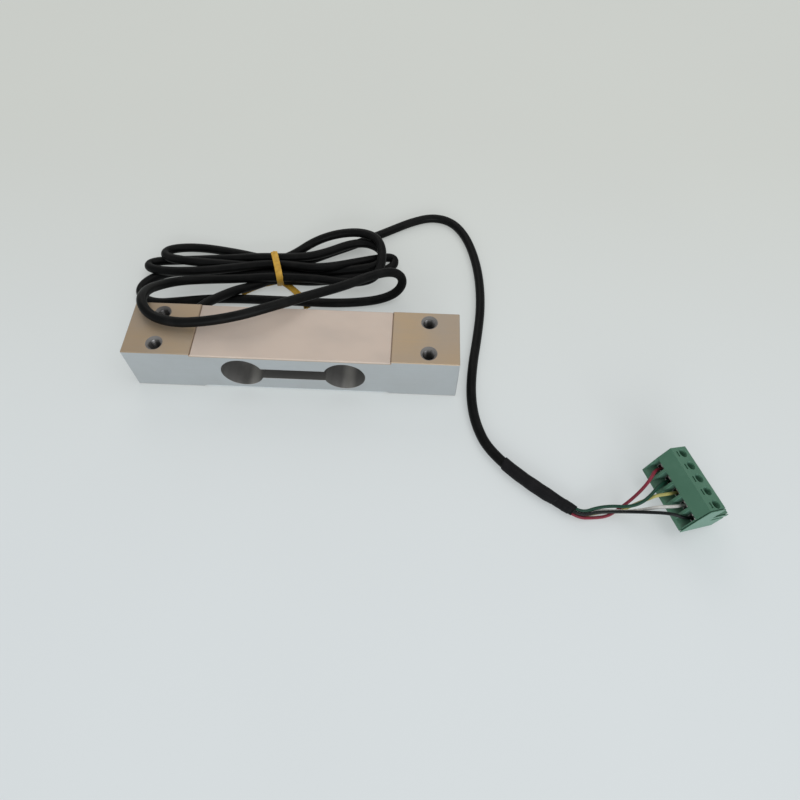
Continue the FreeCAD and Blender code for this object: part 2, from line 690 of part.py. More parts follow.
dress(tie, "Fillet", "outer", "@tie_round + @tie_thick", across_band)
window = new_body("cable_tie_window", tie.Placement)
inside = new_sketch(window, "inside", "YZ_Plane")
draw_rectangle(inside, "-@tie_half", "@tie_half", "@tie_thick", "@tie_inner_high + @tie_thick")
extrude(window, inside, "Pad", "@tie_width + 2", "Symmetric")
dress(window, "Fillet", "inner", "@tie_round", across_band)
tail_root = -size("tie_half") - 0.2
for name, angle, length in (("right", -65.3, "@tie_tail_one"), ("left", 185.2, "@tie_tail_two")):
    strip = new_sketch(tie, "tail_" + name, "XY_Plane")
    spin = FreeCAD.Rotation(UP, angle)
    strip.AttachmentOffset = FreeCAD.Placement(Vector(0, tail_root, 0), spin)
    draw_rectangle(strip, "0", length, "-@tie_width / 2", "@tie_width / 2")
    extrude(tie, strip, "Pad", "@tie_thick")
cable_tie = doc.addObject("Part::Cut", "twist_tie")
cable_tie.Base = tie
cable_tie.Tool = window
cable_tie.Label = "twist_tie"
node(cable_tie)

# The coiled bundle's outer shape: two lobes and the waist inside the tie.
HANK_OUTLINE = [
    (-79.4, 46.4), (-75.0, 42.0), (-30.0, 42.2), (-20.0, 42.8), (-12.0, 42.8),
    (10.0, 42.4), (26.0, 43.4), (35.0, 50.0), (40.4, 55.0), (40.4, 61.6),
    (34.0, 69.4), (22.0, 72.6), (9.0, 68.4), (-2.0, 62.4), (-12.0, 59.4),
    (-20.0, 59.4), (-32.0, 61.6), (-56.0, 65.4), (-71.0, 64.6), (-78.4, 58.0),
]
hank_core = new_body("cable_hank_core")
plan = new_sketch(hank_core, "plan", "XY_Plane")
draw_polygon(plan, [("%g" % across, "%g" % along) for across, along in HANK_OUTLINE])
extrude(hank_core, plan, "Pad", "@hank_high")


def hank_rim(edge):
    """Picks the bundle's upper outline."""
    if not is_line(edge):
        return False
    first, last = ends(edge)
    tall = size("hank_high")
    return abs(first.z - tall) < 1e-6 and abs(last.z - tall) < 1e-6


dress(hank_core, "Chamfer", "rim", "@hank_round", hank_rim)
cable_hank = node(carve(
    "cable_hank", hank_core, [cable_lead_in, cable_loose_loop, cable_lead_out, cable_tie]))


# Two shrink sleeves close the cable's end; the first follows its last bend.
def sleeve(label, points, radii, outside):
    """Makes a close sleeve on the cable's last stretch."""
    outer, length, used = round_tube(points, outside, radii)
    inner, length, used = round_tube(points, cable_radius, radii)
    return node(feature_of(label, outer.cut(inner)))


out_points = [Vector(*point) for point in LEAD_OUT]
last_bend = bend_radius(out_points[-3], out_points[-2], out_points[-1])
ahead = out_points[-1].sub(out_points[-2])
behind = out_points[-3].sub(out_points[-2])
SLEEVE_ONE_BACK = 14.6
SLEEVE_ONE_AHEAD = 7.3
sleeve_start = out_points[-2].add(Vector(behind).normalize().multiply(SLEEVE_ONE_BACK))
sleeve_meet = out_points[-2].add(Vector(ahead).normalize().multiply(SLEEVE_ONE_AHEAD))
sleeve(
    "shrink_sleeve_1", [sleeve_start, out_points[-2], sleeve_meet],
    [last_bend], size("sleeve_radius"))
sleeve(
    "shrink_sleeve_2", [sleeve_meet, out_points[-1]], [], size("sleeve_two_radius"))

# -------------------------------------------------------------- plug's frame
# The plug leans back on its lower rear edge. Its own frame: x from the wire
# side to the contact side, y along the row of poles, z up its height.
PLUG_YAW = 21.4
PLUG_LEAN = 23.0
plug_turn = FreeCAD.Rotation(UP, PLUG_YAW).multiply(FreeCAD.Rotation(Vector(0, 1, 0), PLUG_LEAN))
plug_rise = size("plug_depth") * math.sin(math.radians(PLUG_LEAN))
plug_frame = FreeCAD.Placement(Vector(142.32, -69.45, plug_rise), plug_turn)
POLE_COUNT = int(size("plug_poles"))
PITCH = size("pole_pitch")
PLUG_LONG = POLE_COUNT * PITCH


def pole_y(pole):
    """Gives a pole's place along the plug; pole 1 is the far one."""
    return PLUG_LONG - PITCH / 2 - (pole - 1) * PITCH


# --------------------------------------------------------------------- cores
# Insulated cores from the cable's end, up into the plug's five entries.
CORES = {
    "wire_green": (2, 54, 0.6, [
        (115.8, -60.0, 3.7), (120.7, -59.8, 5.3), (124.7, -60.6, 7.0),
        (128.3, -60.6, 9.0), (131.8, -58.9, 11.2)]),
    "wire_white": (4, 342, -0.6, [
        (116.1, -60.5, 2.2), (121.3, -60.7, 2.9), (126.7, -61.1, 4.0),
        (131.7, -61.4, 7.2), (135.5, -61.7, 11.0)]),
    "wire_black": (5, 126, 1.4, [
        (115.6, -61.7, 3.5), (120.7, -61.7, 4.5), (126.7, -61.9, 5.7),
        (131.9, -63.0, 8.7), (136.4, -64.1, 11.4), (139.5, -65.0, 12.6)]),
    "wire_red": (1, 270, 0.8, [
        (115.3, -61.2, 0.9), (119.9, -60.0, 0.8), (123.8, -59.2, 2.6),
        (127.8, -57.4, 6.2), (131.3, -54.4, 9.6), (133.9, -51.3, 11.9)]),
    "wire_yellow": (3, 198, -0.6, [
        (114.6, -62.9, 0.8), (120.4, -61.7, 0.7), (124.8, -59.9, 1.3),
        (128.9, -58.6, 4.0), (132.1, -58.0, 7.6), (134.9, -57.5, 11.0)]),
}
cable_end = out_points[-1]
heading = Vector(ahead).normalize()
sideways = UP.cross(heading).normalize()
CORE_RUN = 3.0
CORE_DEPTH = 7.0
for name, (pole, angle, entry, middle) in CORES.items():
    spin = math.radians(angle)
    offset = Vector(sideways).multiply(size("core_ring") * math.cos(spin))
    offset = offset.add(Vector(0, 0, size("core_ring") * math.sin(spin)))
    start = cable_end.add(offset)
    leave = start.add(Vector(heading).multiply(CORE_RUN))
    mouth = plug_frame.multVec(Vector(entry, pole_y(pole), size("wire_level")))
    inner = plug_frame.multVec(Vector(CORE_DEPTH, pole_y(pole), size("wire_level")))
    route = [tuple(start), tuple(leave)] + middle + [tuple(mouth), tuple(inner)]
    node(cord(name, route, size("core_radius")))

# ------------------------------------------------------------------ housing
# One moulding: wire entries, screwdriver shafts with probe slots beside them,
# cage chambers and the contact sockets, five times over.
housing = new_body("terminal_housing", plug_frame)
WALL_START = "(@plate_thick + @plate_groove)"
SIDE_PROFILE = [
    ("0.3", "0"), ("0", "0.4"), ("-0.2", "9.2"), ("0.3", "@plug_high"),
    ("@plug_back - 0.3", "@plug_high"), ("@plug_back", "@plug_high - 0.3"),
    ("@plug_back", "@plug_step"), ("@plug_depth", "@plug_step"), ("@plug_depth", "0"),
]
profile = new_sketch(housing, "profile", "XZ_Plane", "-" + WALL_START)
draw_polygon(profile, SIDE_PROFILE)
extrude(housing, profile, "Pad", "@plug_poles * @pole_pitch - " + WALL_START, "One side", True)

shafts = new_sketch(housing, "shafts", "XY_Plane", "@plug_high")
probes = new_sketch(housing, "probes", "XY_Plane", "@plug_high")
chambers = new_sketch(housing, "chambers", "XY_Plane", "@cage_top")
channels = new_sketch(housing, "channels", "YZ_Plane", "@socket_front - @cavity_slip")
tongues = new_sketch(housing, "tongues", "YZ_Plane", "@cage_front - @cavity_slip")
for pole in range(1, POLE_COUNT + 1):
    middle = "%g * @pole_pitch" % (POLE_COUNT - pole + 0.5)
    draw_circle(shafts, "@screw_offset", middle, "@shaft_radius")
    draw_rectangle(probes, "2.05", "2.75", middle + " - 1.1", middle + " + 1.1")
    draw_rectangle(
        chambers, "@cage_front - @cavity_slip", "@cage_back + @cavity_slip",
        middle + " - @cage_half - @cavity_slip", middle + " + @cage_half + @cavity_slip")
    draw_rectangle(
        channels,
        middle + " - @socket_half - @cavity_slip", middle + " + @socket_half + @cavity_slip",
        "@socket_low - @cavity_slip", "@wire_level + @core_radius + @cavity_slip")
    draw_rectangle(
        tongues,
        middle + " - @socket_half - @cavity_slip", middle + " + @socket_half + @cavity_slip",
        "@wire_level + @core_radius - @cavity_slip",
        "@wire_level + @core_radius + @tongue_thick + @cavity_slip")
extrude(housing, shafts, "Pocket", "@plug_high - @cage_top")
extrude(housing, probes, "Pocket", "3.0")
extrude(housing, chambers, "Pocket", "@cage_top - @cage_low + @cavity_slip")
extrude(housing, channels, "Pocket", "@plug_depth", "One side", True)
extrude(housing, tongues, "Pocket", "@socket_front - @cage_front + 2 * @cavity_slip + @tongue_thick",
        "One side", True)

# Each entry is a funnel: wide at the wire side, narrowing to the cage's window.
for pole in range(1, POLE_COUNT + 1):
    middle = "%g * @pole_pitch" % (POLE_COUNT - pole + 0.5)
    near = middle + " - 2.1" if pole < POLE_COUNT else WALL_START + " + 0.35"
    mouth = new_sketch(housing, "mouth_%d" % pole, "YZ_Plane", "-0.3")
    draw_rectangle(mouth, near, middle + " + 2.1", "1.2", "8.8")
    throat = new_sketch(housing, "throat_%d" % pole, "YZ_Plane", "@cage_front")
    draw_rectangle(throat, middle + " - 1.4", middle + " + 1.4", "4.2", "8.2")
    funnel = housing.newObject("PartDesign::SubtractiveLoft", "terminal_housing_funnel_%d" % pole)
    funnel.Profile = mouth
    funnel.Sections = [throat]
    funnel.Ruled = True
    before = housing.Shape.Volume
    doc.recompute()
    if housing.Shape.Volume >= before:
        raise RuntimeError("funnel %d cuts nothing" % pole)
node(housing)

# The end plate closes the near end; a dark groove shows round its edge.
end_plate = new_body("terminal_end_plate", plug_frame)
cover = new_sketch(end_plate, "cover", "XZ_Plane")
draw_polygon(cover, SIDE_PROFILE)
extrude(end_plate, cover, "Pad", "@plate_thick", "One side", True)
guide = new_sketch(end_plate, "guide", "XZ_Plane")
draw_rectangle(guide, "10.4", "@plug_depth + 1", "6.0", "7.0")
extrude(end_plate, guide, "Pocket", "@plate_thick")
boss = new_sketch(end_plate, "boss", "XZ_Plane", "-@plate_thick")
draw_polygon(boss, [
    ("@plate_inset", "@plate_inset"), ("@plate_inset", "@plug_high - @plate_inset"),
    ("@plug_back - @plate_inset", "@plug_high - @plate_inset"),
    ("@plug_back - @plate_inset", "@plug_step - @plate_inset"),
    ("@plug_depth - @plate_inset", "@plug_step - @plate_inset"),
    ("@plug_depth - @plate_inset", "@plate_inset"),
])
extrude(end_plate, boss, "Pad", "@plate_groove", "One side", True)
node(end_plate)


# ------------------------------------------------- cages, contacts and screws
def pole_frame(pole):
    """Gives the frame of one pole: on its middle line, at the plug's foot."""
    shift = FreeCAD.Placement(Vector(0, pole_y(pole), 0), FreeCAD.Rotation())
    return plug_frame.multiply(shift)


def wire_cage(pole):
    """Makes the box clamp that the screw draws up round the core."""
    body = new_body("wire_cage_%d" % pole, pole_frame(pole))
    block = new_sketch(body, "block", "XZ_Plane")
    draw_rectangle(block, "@cage_front", "@cage_back", "@cage_low", "@cage_top")
    extrude(body, block, "Pad", "2 * @cage_half", "Symmetric")
    opening = new_sketch(body, "opening", "YZ_Plane", "@cage_front - 1")
    draw_rectangle(
        opening, "-@cage_half + @cage_wall", "@cage_half - @cage_wall",
        "@wire_level - @core_radius", "@cage_top - 1.2")
    extrude(body, opening, "Pocket", "@cage_back - @cage_front + 2", "One side", True)
    thread = new_sketch(body, "thread", "XY_Plane", "@cage_top + 1")
    draw_circle(thread, "@screw_offset", "0", "@screw_radius")
    extrude(body, thread, "Pocket", "2.4")
    return node(body)


def contact(pole):
    """Makes the contact: a tongue over the core and a square sleeve behind."""
    body = new_body("contact_%d" % pole, pole_frame(pole))
    tongue = new_sketch(body, "tongue", "XZ_Plane")
    draw_polygon(tongue, [
        ("@cage_front + 0.1", "@wire_level + @core_radius"),
        ("@socket_front", "@wire_level + @core_radius"),
        ("@socket_front", "@socket_low"),
        ("@socket_front + @tongue_thick", "@socket_low"),
        ("@socket_front + @tongue_thick", "@wire_level + @core_radius + @tongue_thick"),
        ("@cage_front + 0.1", "@wire_level + @core_radius + @tongue_thick"),
    ])
    extrude(body, tongue, "Pad", "2 * @tongue_half", "Symmetric")
    box = new_sketch(body, "box", "YZ_Plane", "@socket_front + @tongue_thick")
    top = "@wire_level + @core_radius"
    draw_rectangle(box, "-@socket_half", "@socket_half", "@socket_low", top)
    draw_rectangle(
        box, "-@socket_half + @socket_wall", "@socket_half - @socket_wall",
        "@socket_low + @socket_wall", top + " - @socket_wall")
    extrude(body, box, "Pad", "@socket_end - @socket_front - @tongue_thick")
    return node(body)


def clamp_screw(pole):
    """Turns the slotted clamp screw, its tip on the contact's tongue."""
    body = new_body("clamp_screw_%d" % pole, pole_frame(pole))
    half = new_sketch(body, "half", "XZ_Plane")
    tip = "@wire_level + @core_radius + @tongue_thick"
    head = "@cage_top + 0.05"
    draw_polygon(half, [
        ("@screw_offset", tip), ("@screw_offset + @screw_radius - 0.2", tip),
        ("@screw_offset + @screw_radius", tip + " + 0.2"),
        ("@screw_offset + @screw_radius", head),
        ("@screw_offset + @screw_head_radius", head),
        ("@screw_offset + @screw_head_radius", head + " + @screw_head_high"),
        ("@screw_offset", head + " + @screw_head_high"),
    ])
    axis = half.addGeometry(Part.LineSegment(Vector(5, 0, 0), Vector(5, 3, 0)), True)
    hold(half, "DistanceX", axis, 1, 5, "axis_x", "@screw_offset")
    hold(half, "DistanceY", axis, 1, 0, "axis_y", "0")
    hold(half, "DistanceX", axis, 2, 5, "axis_u", "@screw_offset")
    hold(half, "DistanceY", axis, 2, 3, "axis_v", "3")
    turned_part = body.newObject("PartDesign::Revolution", body.Name + "_turned")
    turned_part.Profile = half
    turned_part.ReferenceAxis = (half, ["Axis0"])
    turned_part.Angle = 360
    doc.recompute()
    drive = new_sketch(body, "drive", "XY_Plane", head + " + @screw_head_high")
    draw_rectangle(
        drive, "@screw_offset - 3", "@screw_offset + 3", "-@screw_slot / 2", "@screw_slot / 2")
    extrude(body, drive, "Pocket", "1.0")
    return node(body)


for pole in range(1, POLE_COUNT + 1):
    wire_cage(pole)
for pole in range(1, POLE_COUNT + 1):
    contact(pole)
for pole in range(1, POLE_COUNT + 1):
    clamp_screw(pole)

# -------------------------------------------------------------------- output
doc.recompute()
for item in doc.Objects:
    for flag in ("Invalid", "Error"):
        if flag in item.State:
            raise RuntimeError("%s is %s" % (item.Label, flag))
for item in NODES:
    shape = item.Shape
    if shape.isNull() or not shape.isValid():
        raise RuntimeError("%s has no valid shape" % item.Label)
    if len(shape.Solids) != 1:
        raise RuntimeError("%s has %d solids" % (item.Label, len(shape.Solids)))
    lowest = shape.optimalBoundingBox(False).ZMin
    if lowest < -0.002:
        raise RuntimeError("%s reaches %.3f below the floor" % (item.Label, lowest))

os.makedirs("parts", exist_ok=True)
for item in NODES:
    item.Shape.exportStep("parts/" + item.Label + ".step")
    box = item.Shape.BoundBox
    print("%-20s %9.2f mm3  x %.1f..%.1f  y %.1f..%.1f  z %.2f..%.2f" % (
        item.Label, item.Shape.Volume, box.XMin, box.XMax, box.YMin, box.YMax,
        box.ZMin, box.ZMax))
print("%d pieces" % len(NODES))
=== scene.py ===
"""Looks of the single point load cell, its cable and its terminal plug.

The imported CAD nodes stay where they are. This script gives them their
finishes, lays the real cable and cores along smooth splines in place of
their plain CAD stand-ins, and adds the twist tie, the shrink sleeves and
the threads. Lengths are millimetres in the tables and metres in Blender.
"""

import json
import logging
import math
from dataclasses import dataclass, field
from enum import Enum
from typing import Callable, Iterable, Sequence

import bpy
import numpy as np
from mathutils import Matrix, Quaternion, Vector

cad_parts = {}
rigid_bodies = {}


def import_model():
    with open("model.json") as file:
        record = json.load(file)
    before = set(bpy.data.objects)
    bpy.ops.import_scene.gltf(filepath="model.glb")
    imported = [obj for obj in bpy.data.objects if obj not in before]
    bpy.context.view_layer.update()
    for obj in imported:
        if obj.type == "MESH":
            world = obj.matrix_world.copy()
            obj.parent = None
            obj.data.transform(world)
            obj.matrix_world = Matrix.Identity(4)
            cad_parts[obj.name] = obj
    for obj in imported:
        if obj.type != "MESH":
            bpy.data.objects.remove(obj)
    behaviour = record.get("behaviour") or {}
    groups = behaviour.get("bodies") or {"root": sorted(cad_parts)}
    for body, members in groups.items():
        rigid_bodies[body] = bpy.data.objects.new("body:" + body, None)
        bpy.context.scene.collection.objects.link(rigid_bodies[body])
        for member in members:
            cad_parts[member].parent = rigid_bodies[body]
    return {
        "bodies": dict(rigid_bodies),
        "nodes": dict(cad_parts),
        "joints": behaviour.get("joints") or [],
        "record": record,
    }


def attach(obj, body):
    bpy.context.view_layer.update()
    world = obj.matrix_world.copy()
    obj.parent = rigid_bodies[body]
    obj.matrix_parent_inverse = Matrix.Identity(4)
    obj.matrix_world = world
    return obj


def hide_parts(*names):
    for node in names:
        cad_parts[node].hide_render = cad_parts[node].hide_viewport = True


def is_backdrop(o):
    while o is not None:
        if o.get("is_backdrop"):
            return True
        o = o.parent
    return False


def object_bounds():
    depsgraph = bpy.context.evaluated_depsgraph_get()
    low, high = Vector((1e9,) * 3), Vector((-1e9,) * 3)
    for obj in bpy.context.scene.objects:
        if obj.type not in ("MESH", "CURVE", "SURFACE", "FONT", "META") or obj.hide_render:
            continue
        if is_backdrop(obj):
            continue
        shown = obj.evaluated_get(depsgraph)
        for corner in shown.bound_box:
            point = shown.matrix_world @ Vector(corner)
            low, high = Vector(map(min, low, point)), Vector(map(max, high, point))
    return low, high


LOG = logging.getLogger("load_cell")
MM = 0.001
Point = tuple[float, float, float]
Socket = bpy.types.NodeSocket
Feed = Socket | float | Point

CABLE_DIAMETER = 4.0
PLUG_METAL = ("wire_cage_", "contact_", "clamp_screw_")


@dataclass(frozen=True)
class BeamPlaces:
    """Places on the beam that its finishes and threads share, in millimetres.

    Attributes:
        hole_along: Mounting holes' distance from the middle, along the beam.
        hole_across: Their distance from the middle, across the beam.
        mouth: Reach of a hole's chamfer from the hole's middle.
        middle: Height of the beam's middle.
        top_layer: Heights between which the upper relief gives way to the pads.
        bottom_layer: Heights between which the lower relief gives way to them.
        opening: Half the length that the flexure opening stays within.
        inner: Half the width that lies inside the two long sides.
        pad: Distance of the pads' inner walls from the middle, and a little more.
    """

    hole_along: float = 53.0
    hole_across: float = 7.5
    mouth: float = 3.4
    middle: float = 11.0
    top_layer: tuple[float, float] = (20.4, 20.8)
    bottom_layer: tuple[float, float] = (1.2, 1.6)
    opening: float = 30.4
    inner: float = 12.45
    pad: float = 38.8


BEAM = BeamPlaces()


# --------------------------------------------------------------------- camera
@dataclass(frozen=True)
class CameraRig:
    """The view of the part, from in front and above, rolled slightly.

    Attributes:
        eye: Place of the lens, in millimetres.
        forward: Direction of view.
        roll: Turn about the view direction, in degrees.
        lens: Focal length, in millimetres.
        sensor: Width of the sensor, in millimetres.
        shift_y: Small upward shift of the view.
    """

    eye: Point = (45.5329, -147.0012, 214.9183)
    forward: Point = (-0.01217, 0.52350, -0.85194)
    roll: float = 1.184
    lens: float = 27.876
    sensor: float = 36.0
    shift_y: float = -0.00125

    def build(self) -> bpy.types.Object:
        """Makes the camera and makes it the scene's.

        Returns:
            The camera object.
        """
        data = bpy.data.cameras.new("camera")
        data.lens = self.lens
        data.sensor_width = self.sensor
        data.shift_y = self.shift_y
        data.clip_start = 0.01
        data.clip_end = 20.0
        data.dof.use_dof = False
        camera = bpy.data.objects.new("camera", data)
        bpy.context.scene.collection.objects.link(camera)
        aim = Vector(self.forward).to_track_quat("-Z", "Y")
        spin = Quaternion((0.0, 0.0, 1.0), math.radians(self.roll))
        camera.rotation_mode = "QUATERNION"
        camera.rotation_quaternion = aim @ spin
        camera.location = Vector(self.eye) * MM
        bpy.context.scene.camera = camera
        return camera


# -------------------------------------------------------------- cable's route
class Side(Enum):
    """Which way a fold of the bundle is walked round its tip."""

    AWAY = -1
    NEAR = 1


@dataclass(frozen=True)
class Waist:
    """Where one pass of the cable lies inside the tie.

    Attributes:
        across: Its middle across the bundle.
        height: Its middle above the floor.
    """

    across: float
    height: float


@dataclass(frozen=True)
class Fold:
    """One fold of the bundle, out from the tie, round a tip and back.

    Attributes:
        tip: Furthest reach of the fold, its middle, and half its opening.
        out: Place across and height at two points on the way out.
        back: Place across and height at two points on the way back.
        tip_height: Height at the tip.
    """

    tip: Point
    out: tuple[tuple[float, float], tuple[float, float]]
    back: tuple[tuple[float, float], tuple[float, float]]
    tip_height: float


# The tie's middle on the floor plan, how far its band slants for each
# millimetre across, and how far each pass runs straight to either side.
TIE_X = -16.8
TIE_Y = 51.1
TIE_SLANT = 0.31
TIE_STRIDE = 5.0

# How far along a fold its two shaping points lie, as shares of its reach.
FOLD_NEAR = 0.38
FOLD_FAR = 0.76

WAISTS: dict[str, Waist] = {
    "A": Waist(56.8, 2.6),
    "B": Waist(54.7, 6.2),
    "C": Waist(52.6, 2.6),
    "D": Waist(50.5, 6.2),
    "E": Waist(48.5, 2.6),
    "F": Waist(42.9, 6.1),
    "G": Waist(44.4, 2.5),
}

FOLDS: dict[str, Fold] = {
    "R3": Fold((36.8, 58.4, 3.6), ((44.6, 2.0), (49.6, 2.0)), ((58.0, 3.0), (47.2, 7.7)), 2.0),
    "L2": Fold((-74.9, 49.0, 3.2), ((46.2, 6.4), (43.2, 6.4)), ((54.4, 2.4), (55.0, 4.0)), 4.2),
    "R2": Fold((31.2, 58.0, 4.8), ((56.4, 6.3), (67.2, 6.3)), ((50.9, 4.3), (49.2, 2.0)), 6.3),
    "R1": Fold((31.4, 53.8, 9.8), ((43.2, 5.9), (42.0, 4.4)), ((71.0, 9.0), (69.4, 5.6)), 12.0),
    "L1": Fold((-68.4, 55.4, 3.6), ((60.0, 2.6), (63.4, 2.2)), ((49.8, 6.7), (50.4, 4.9)), 7.2),
}

LEAD_IN: list[Point] = [
    (-46.5, 3.0, 11.0), (-46.5, 14.0, 11.0), (-43.6, 21.6, 10.2), (-38.2, 28.4, 8.0),
    (-32.4, 34.4, 5.9), (-27.6, 38.8, 3.4), (-22.0, 42.2, 2.6),
]
LOOSE_LOOP: list[Point] = [
    (-36.0, 47.5, 2.2), (-49.0, 47.8, 2.3), (-60.0, 47.4, 2.6), (-67.4, 46.0, 2.3),
    (-73.8, 42.4, 2.1), (-76.9, 36.6, 2.1), (-74.4, 31.0, 2.1), (-67.0, 28.4, 2.1),
    (-57.0, 30.0, 2.1), (-44.0, 32.2, 2.1), (-31.0, 32.8, 2.1), (-16.0, 31.8, 3.2),
    (-2.0, 31.4, 3.4), (11.0, 32.0, 2.5), (22.0, 33.4, 2.1), (31.4, 35.2, 2.4),
    (38.2, 37.8, 3.8), (41.4, 40.2, 7.4), (40.6, 41.7, 11.4), (36.2, 41.3, 14.2),
    (28.4, 36.8, 16.4), (16.8, 27.2, 19.2), (4.0, 17.7, 23.6), (-8.0, 9.2, 26.8),
    (-21.0, 3.4, 26.8), (-34.0, 0.9, 25.6), (-46.0, 0.2, 24.9), (-56.0, 2.8, 25.2),
    (-61.4, 9.2, 26.2), (-63.0, 19.0, 21.8), (-61.6, 28.8, 14.2), (-56.4, 36.4, 8.6),
    (-45.0, 39.4, 6.8), (-31.0, 40.6, 6.6),
]
LEAD_OUT: list[Point] = [
    (-2.0, 58.0, 2.0), (7.0, 63.2, 2.0), (16.0, 68.0, 2.0), (24.4, 73.2, 2.0),
    (34.0, 79.2, 2.0), (44.0, 85.6, 2.0), (54.0, 89.4, 2.0), (63.2, 87.0, 2.0),
    (69.6, 78.6, 2.0), (73.8, 66.0, 2.0), (76.2, 50.4, 2.0), (76.4, 33.0, 2.0),
    (74.4, 16.4, 2.0), (71.9, 0.6, 2.0), (71.0, -14.0, 2.0), (72.8, -27.0, 2.0),
    (78.0, -38.9, 2.5), (93.9, -52.7, 2.5), (107.4, -61.1, 2.5),
]


@dataclass(frozen=True)
class CableSpec:
    """The signal cable.

    Attributes:
        diameter: Jacket's outside diameter.
        order: Folds and stretches in the order in which the cable runs.
    """

    diameter: float = CABLE_DIAMETER
    order: tuple[str, ...] = (
        "lead_in", "G", "R3", "D", "L2", "B", "R2", "E", "loose_loop",
        "F", "R1", "A", "L1", "C", "lead_out",
    )

    def waist_points(self, name: str, ahead: bool) -> list[Point]:
        """Gives the pass through the tie.

        Args:
            name: Key of the pass in WAISTS.
            ahead: Whether the cable runs towards +X there.

        Returns:
            Two route points, one each side of the tie, in millimetres.
        """
        place = WAISTS[name]
        middle = TIE_X - (place.across - TIE_Y) * TIE_SLANT
        step = TIE_STRIDE if ahead else -TIE_STRIDE
        return [(x, place.across, place.height) for x in (middle - step, middle + step)]

    def fold_points(self, name: str) -> list[Point]:
        """Walks one fold, out from the tie and back to it.

        Args:
            name: Key of the fold in FOLDS.

        Returns:
            Six route points, in millimetres.
        """
        fold = FOLDS[name]
        reach, middle, half = fold.tip
        run = reach - TIE_X
        (out_near, out_far), (back_far, back_near) = fold.out, fold.back
        side = Side.NEAR if out_far[0] < middle else Side.AWAY
        return [
            (TIE_X + FOLD_NEAR * run, *out_near),
            (TIE_X + FOLD_FAR * run, *out_far),
            (reach, middle - side.value * half, (out_far[1] + fold.tip_height) / 2),
            (reach, middle + side.value * half, (back_far[1] + fold.tip_height) / 2),
            (TIE_X + FOLD_FAR * run, *back_far),
            (TIE_X + FOLD_NEAR * run, *back_near),
        ]

    def route(self) -> list[Point]:
        """Lists the whole route, from inside the beam to the cores.

        Returns:
            The spline's points, in millimetres.
        """
        stretches = {"lead_in": LEAD_IN, "loose_loop": LOOSE_LOOP, "lead_out": LEAD_OUT}
        points: list[Point] = []
        ahead = False
        for name in self.order:
            if name in stretches:
                points += stretches[name]
            elif name in WAISTS:
                ahead = not ahead
                points += self.waist_points(name, ahead)
            else:
                points += self.fold_points(name)
        return points


@dataclass(frozen=True)
class PlugFrame:
    """The plug's own frame, which leans back on its lower rear edge.

    Attributes:
        yaw: Turn about the vertical, in degrees.
        lean: Turn about the row of poles, in degrees.
        depth: Plug's depth from the wire side to the contact side.
        foot: Place of the frame's origin on the floor plan.
        pitch: Distance between poles.
        poles: Number of poles.
    """

    yaw: float = 21.4
    lean: float = 23.0
    depth: float = 18.1
    foot: tuple[float, float] = (142.32, -69.45)
    pitch: float = 5.08
    poles: int = 5

    def matrix(self) -> Matrix:
        """Gives the frame's place in the row frame.

        Returns:
            The place and turn, in millimetres.
        """
        rise = self.depth * math.sin(math.radians(self.lean))
        turn = Matrix.Rotation(math.radians(self.yaw), 4, "Z")
        turn = turn @ Matrix.Rotation(math.radians(self.lean), 4, "Y")
        return Matrix.Translation((self.foot[0], self.foot[1], rise)) @ turn

    def pole(self, number: int) -> float:
        """Gives a pole's place along the row; pole 1 is the far one."""
        return self.pitch * (self.poles - number + 0.5)

    def place(self, x: float, y: float, z: float) -> Point:
        """Puts a point of the plug's frame into the row frame."""
        return tuple(self.matrix() @ Vector((x, y, z)))


@dataclass(frozen=True)
class CoreSpec:
    """One insulated core between the cable's end and the plug.

    Attributes:
        node: The CAD node that it stands for.
        pole: The pole that it is clamped in.
        angle: Its place round the cable's end, in degrees.
        entry: How far inside the funnel its last bend is.
        middle: Points given between the cable and the plug.
        tone: Insulation's colour.
    """

    node: str
    pole: int
    angle: float
    entry: float
    middle: tuple[Point, ...]
    tone: Point


# A core's outside diameter, its distance from the cable's middle line, its
# straight run out of the sleeve, and how far inside its cage it ends.
CORE_DIAMETER = 1.2
CORE_RING = 1.2
CORE_RUN = 3.0
CORE_DEPTH = 7.0
# Height of the wire funnels' middle in the plug's own frame.
WIRE_LEVEL = 5.0

CORES: tuple[CoreSpec, ...] = (
    CoreSpec("wire_green", 2, 54.0, 0.6, (
        (115.8, -60.0, 3.7), (120.7, -59.8, 5.3), (124.7, -60.6, 7.0),
        (128.3, -60.6, 9.0), (131.8, -58.9, 11.2)), (0.012, 0.060, 0.036)),
    CoreSpec("wire_white", 4, 342.0, -0.6, (
        (116.1, -60.5, 2.2), (121.3, -60.7, 2.9), (126.7, -61.1, 4.0),
        (131.7, -61.4, 7.2), (135.5, -61.7, 11.0)), (0.72, 0.71, 0.67)),
    CoreSpec("wire_black", 5, 126.0, 1.4, (
        (115.6, -61.7, 3.5), (120.7, -61.7, 4.5), (126.7, -61.9, 5.7),
        (131.9, -63.0, 8.7), (136.4, -64.1, 11.4), (139.5, -65.0, 12.6)),
        (0.006, 0.008, 0.008)),
    CoreSpec("wire_red", 1, 198.0, 0.8, (
        (114.6, -62.9, 0.8), (119.8, -62.2, 0.8), (123.8, -59.9, 2.4),
        (127.8, -57.4, 6.2), (131.3, -54.4, 9.6), (133.9, -51.3, 11.9)),
        (0.25, 0.030, 0.050)),
    CoreSpec("wire_yellow", 3, 270.0, -0.6, (
        (115.3, -61.2, 0.9), (119.9, -60.1, 0.7), (124.6, -59.9, 0.9),
        (128.9, -58.6, 4.0), (132.1, -58.0, 7.6), (134.9, -57.5, 11.0)),
        (0.46, 0.42, 0.14)),
)


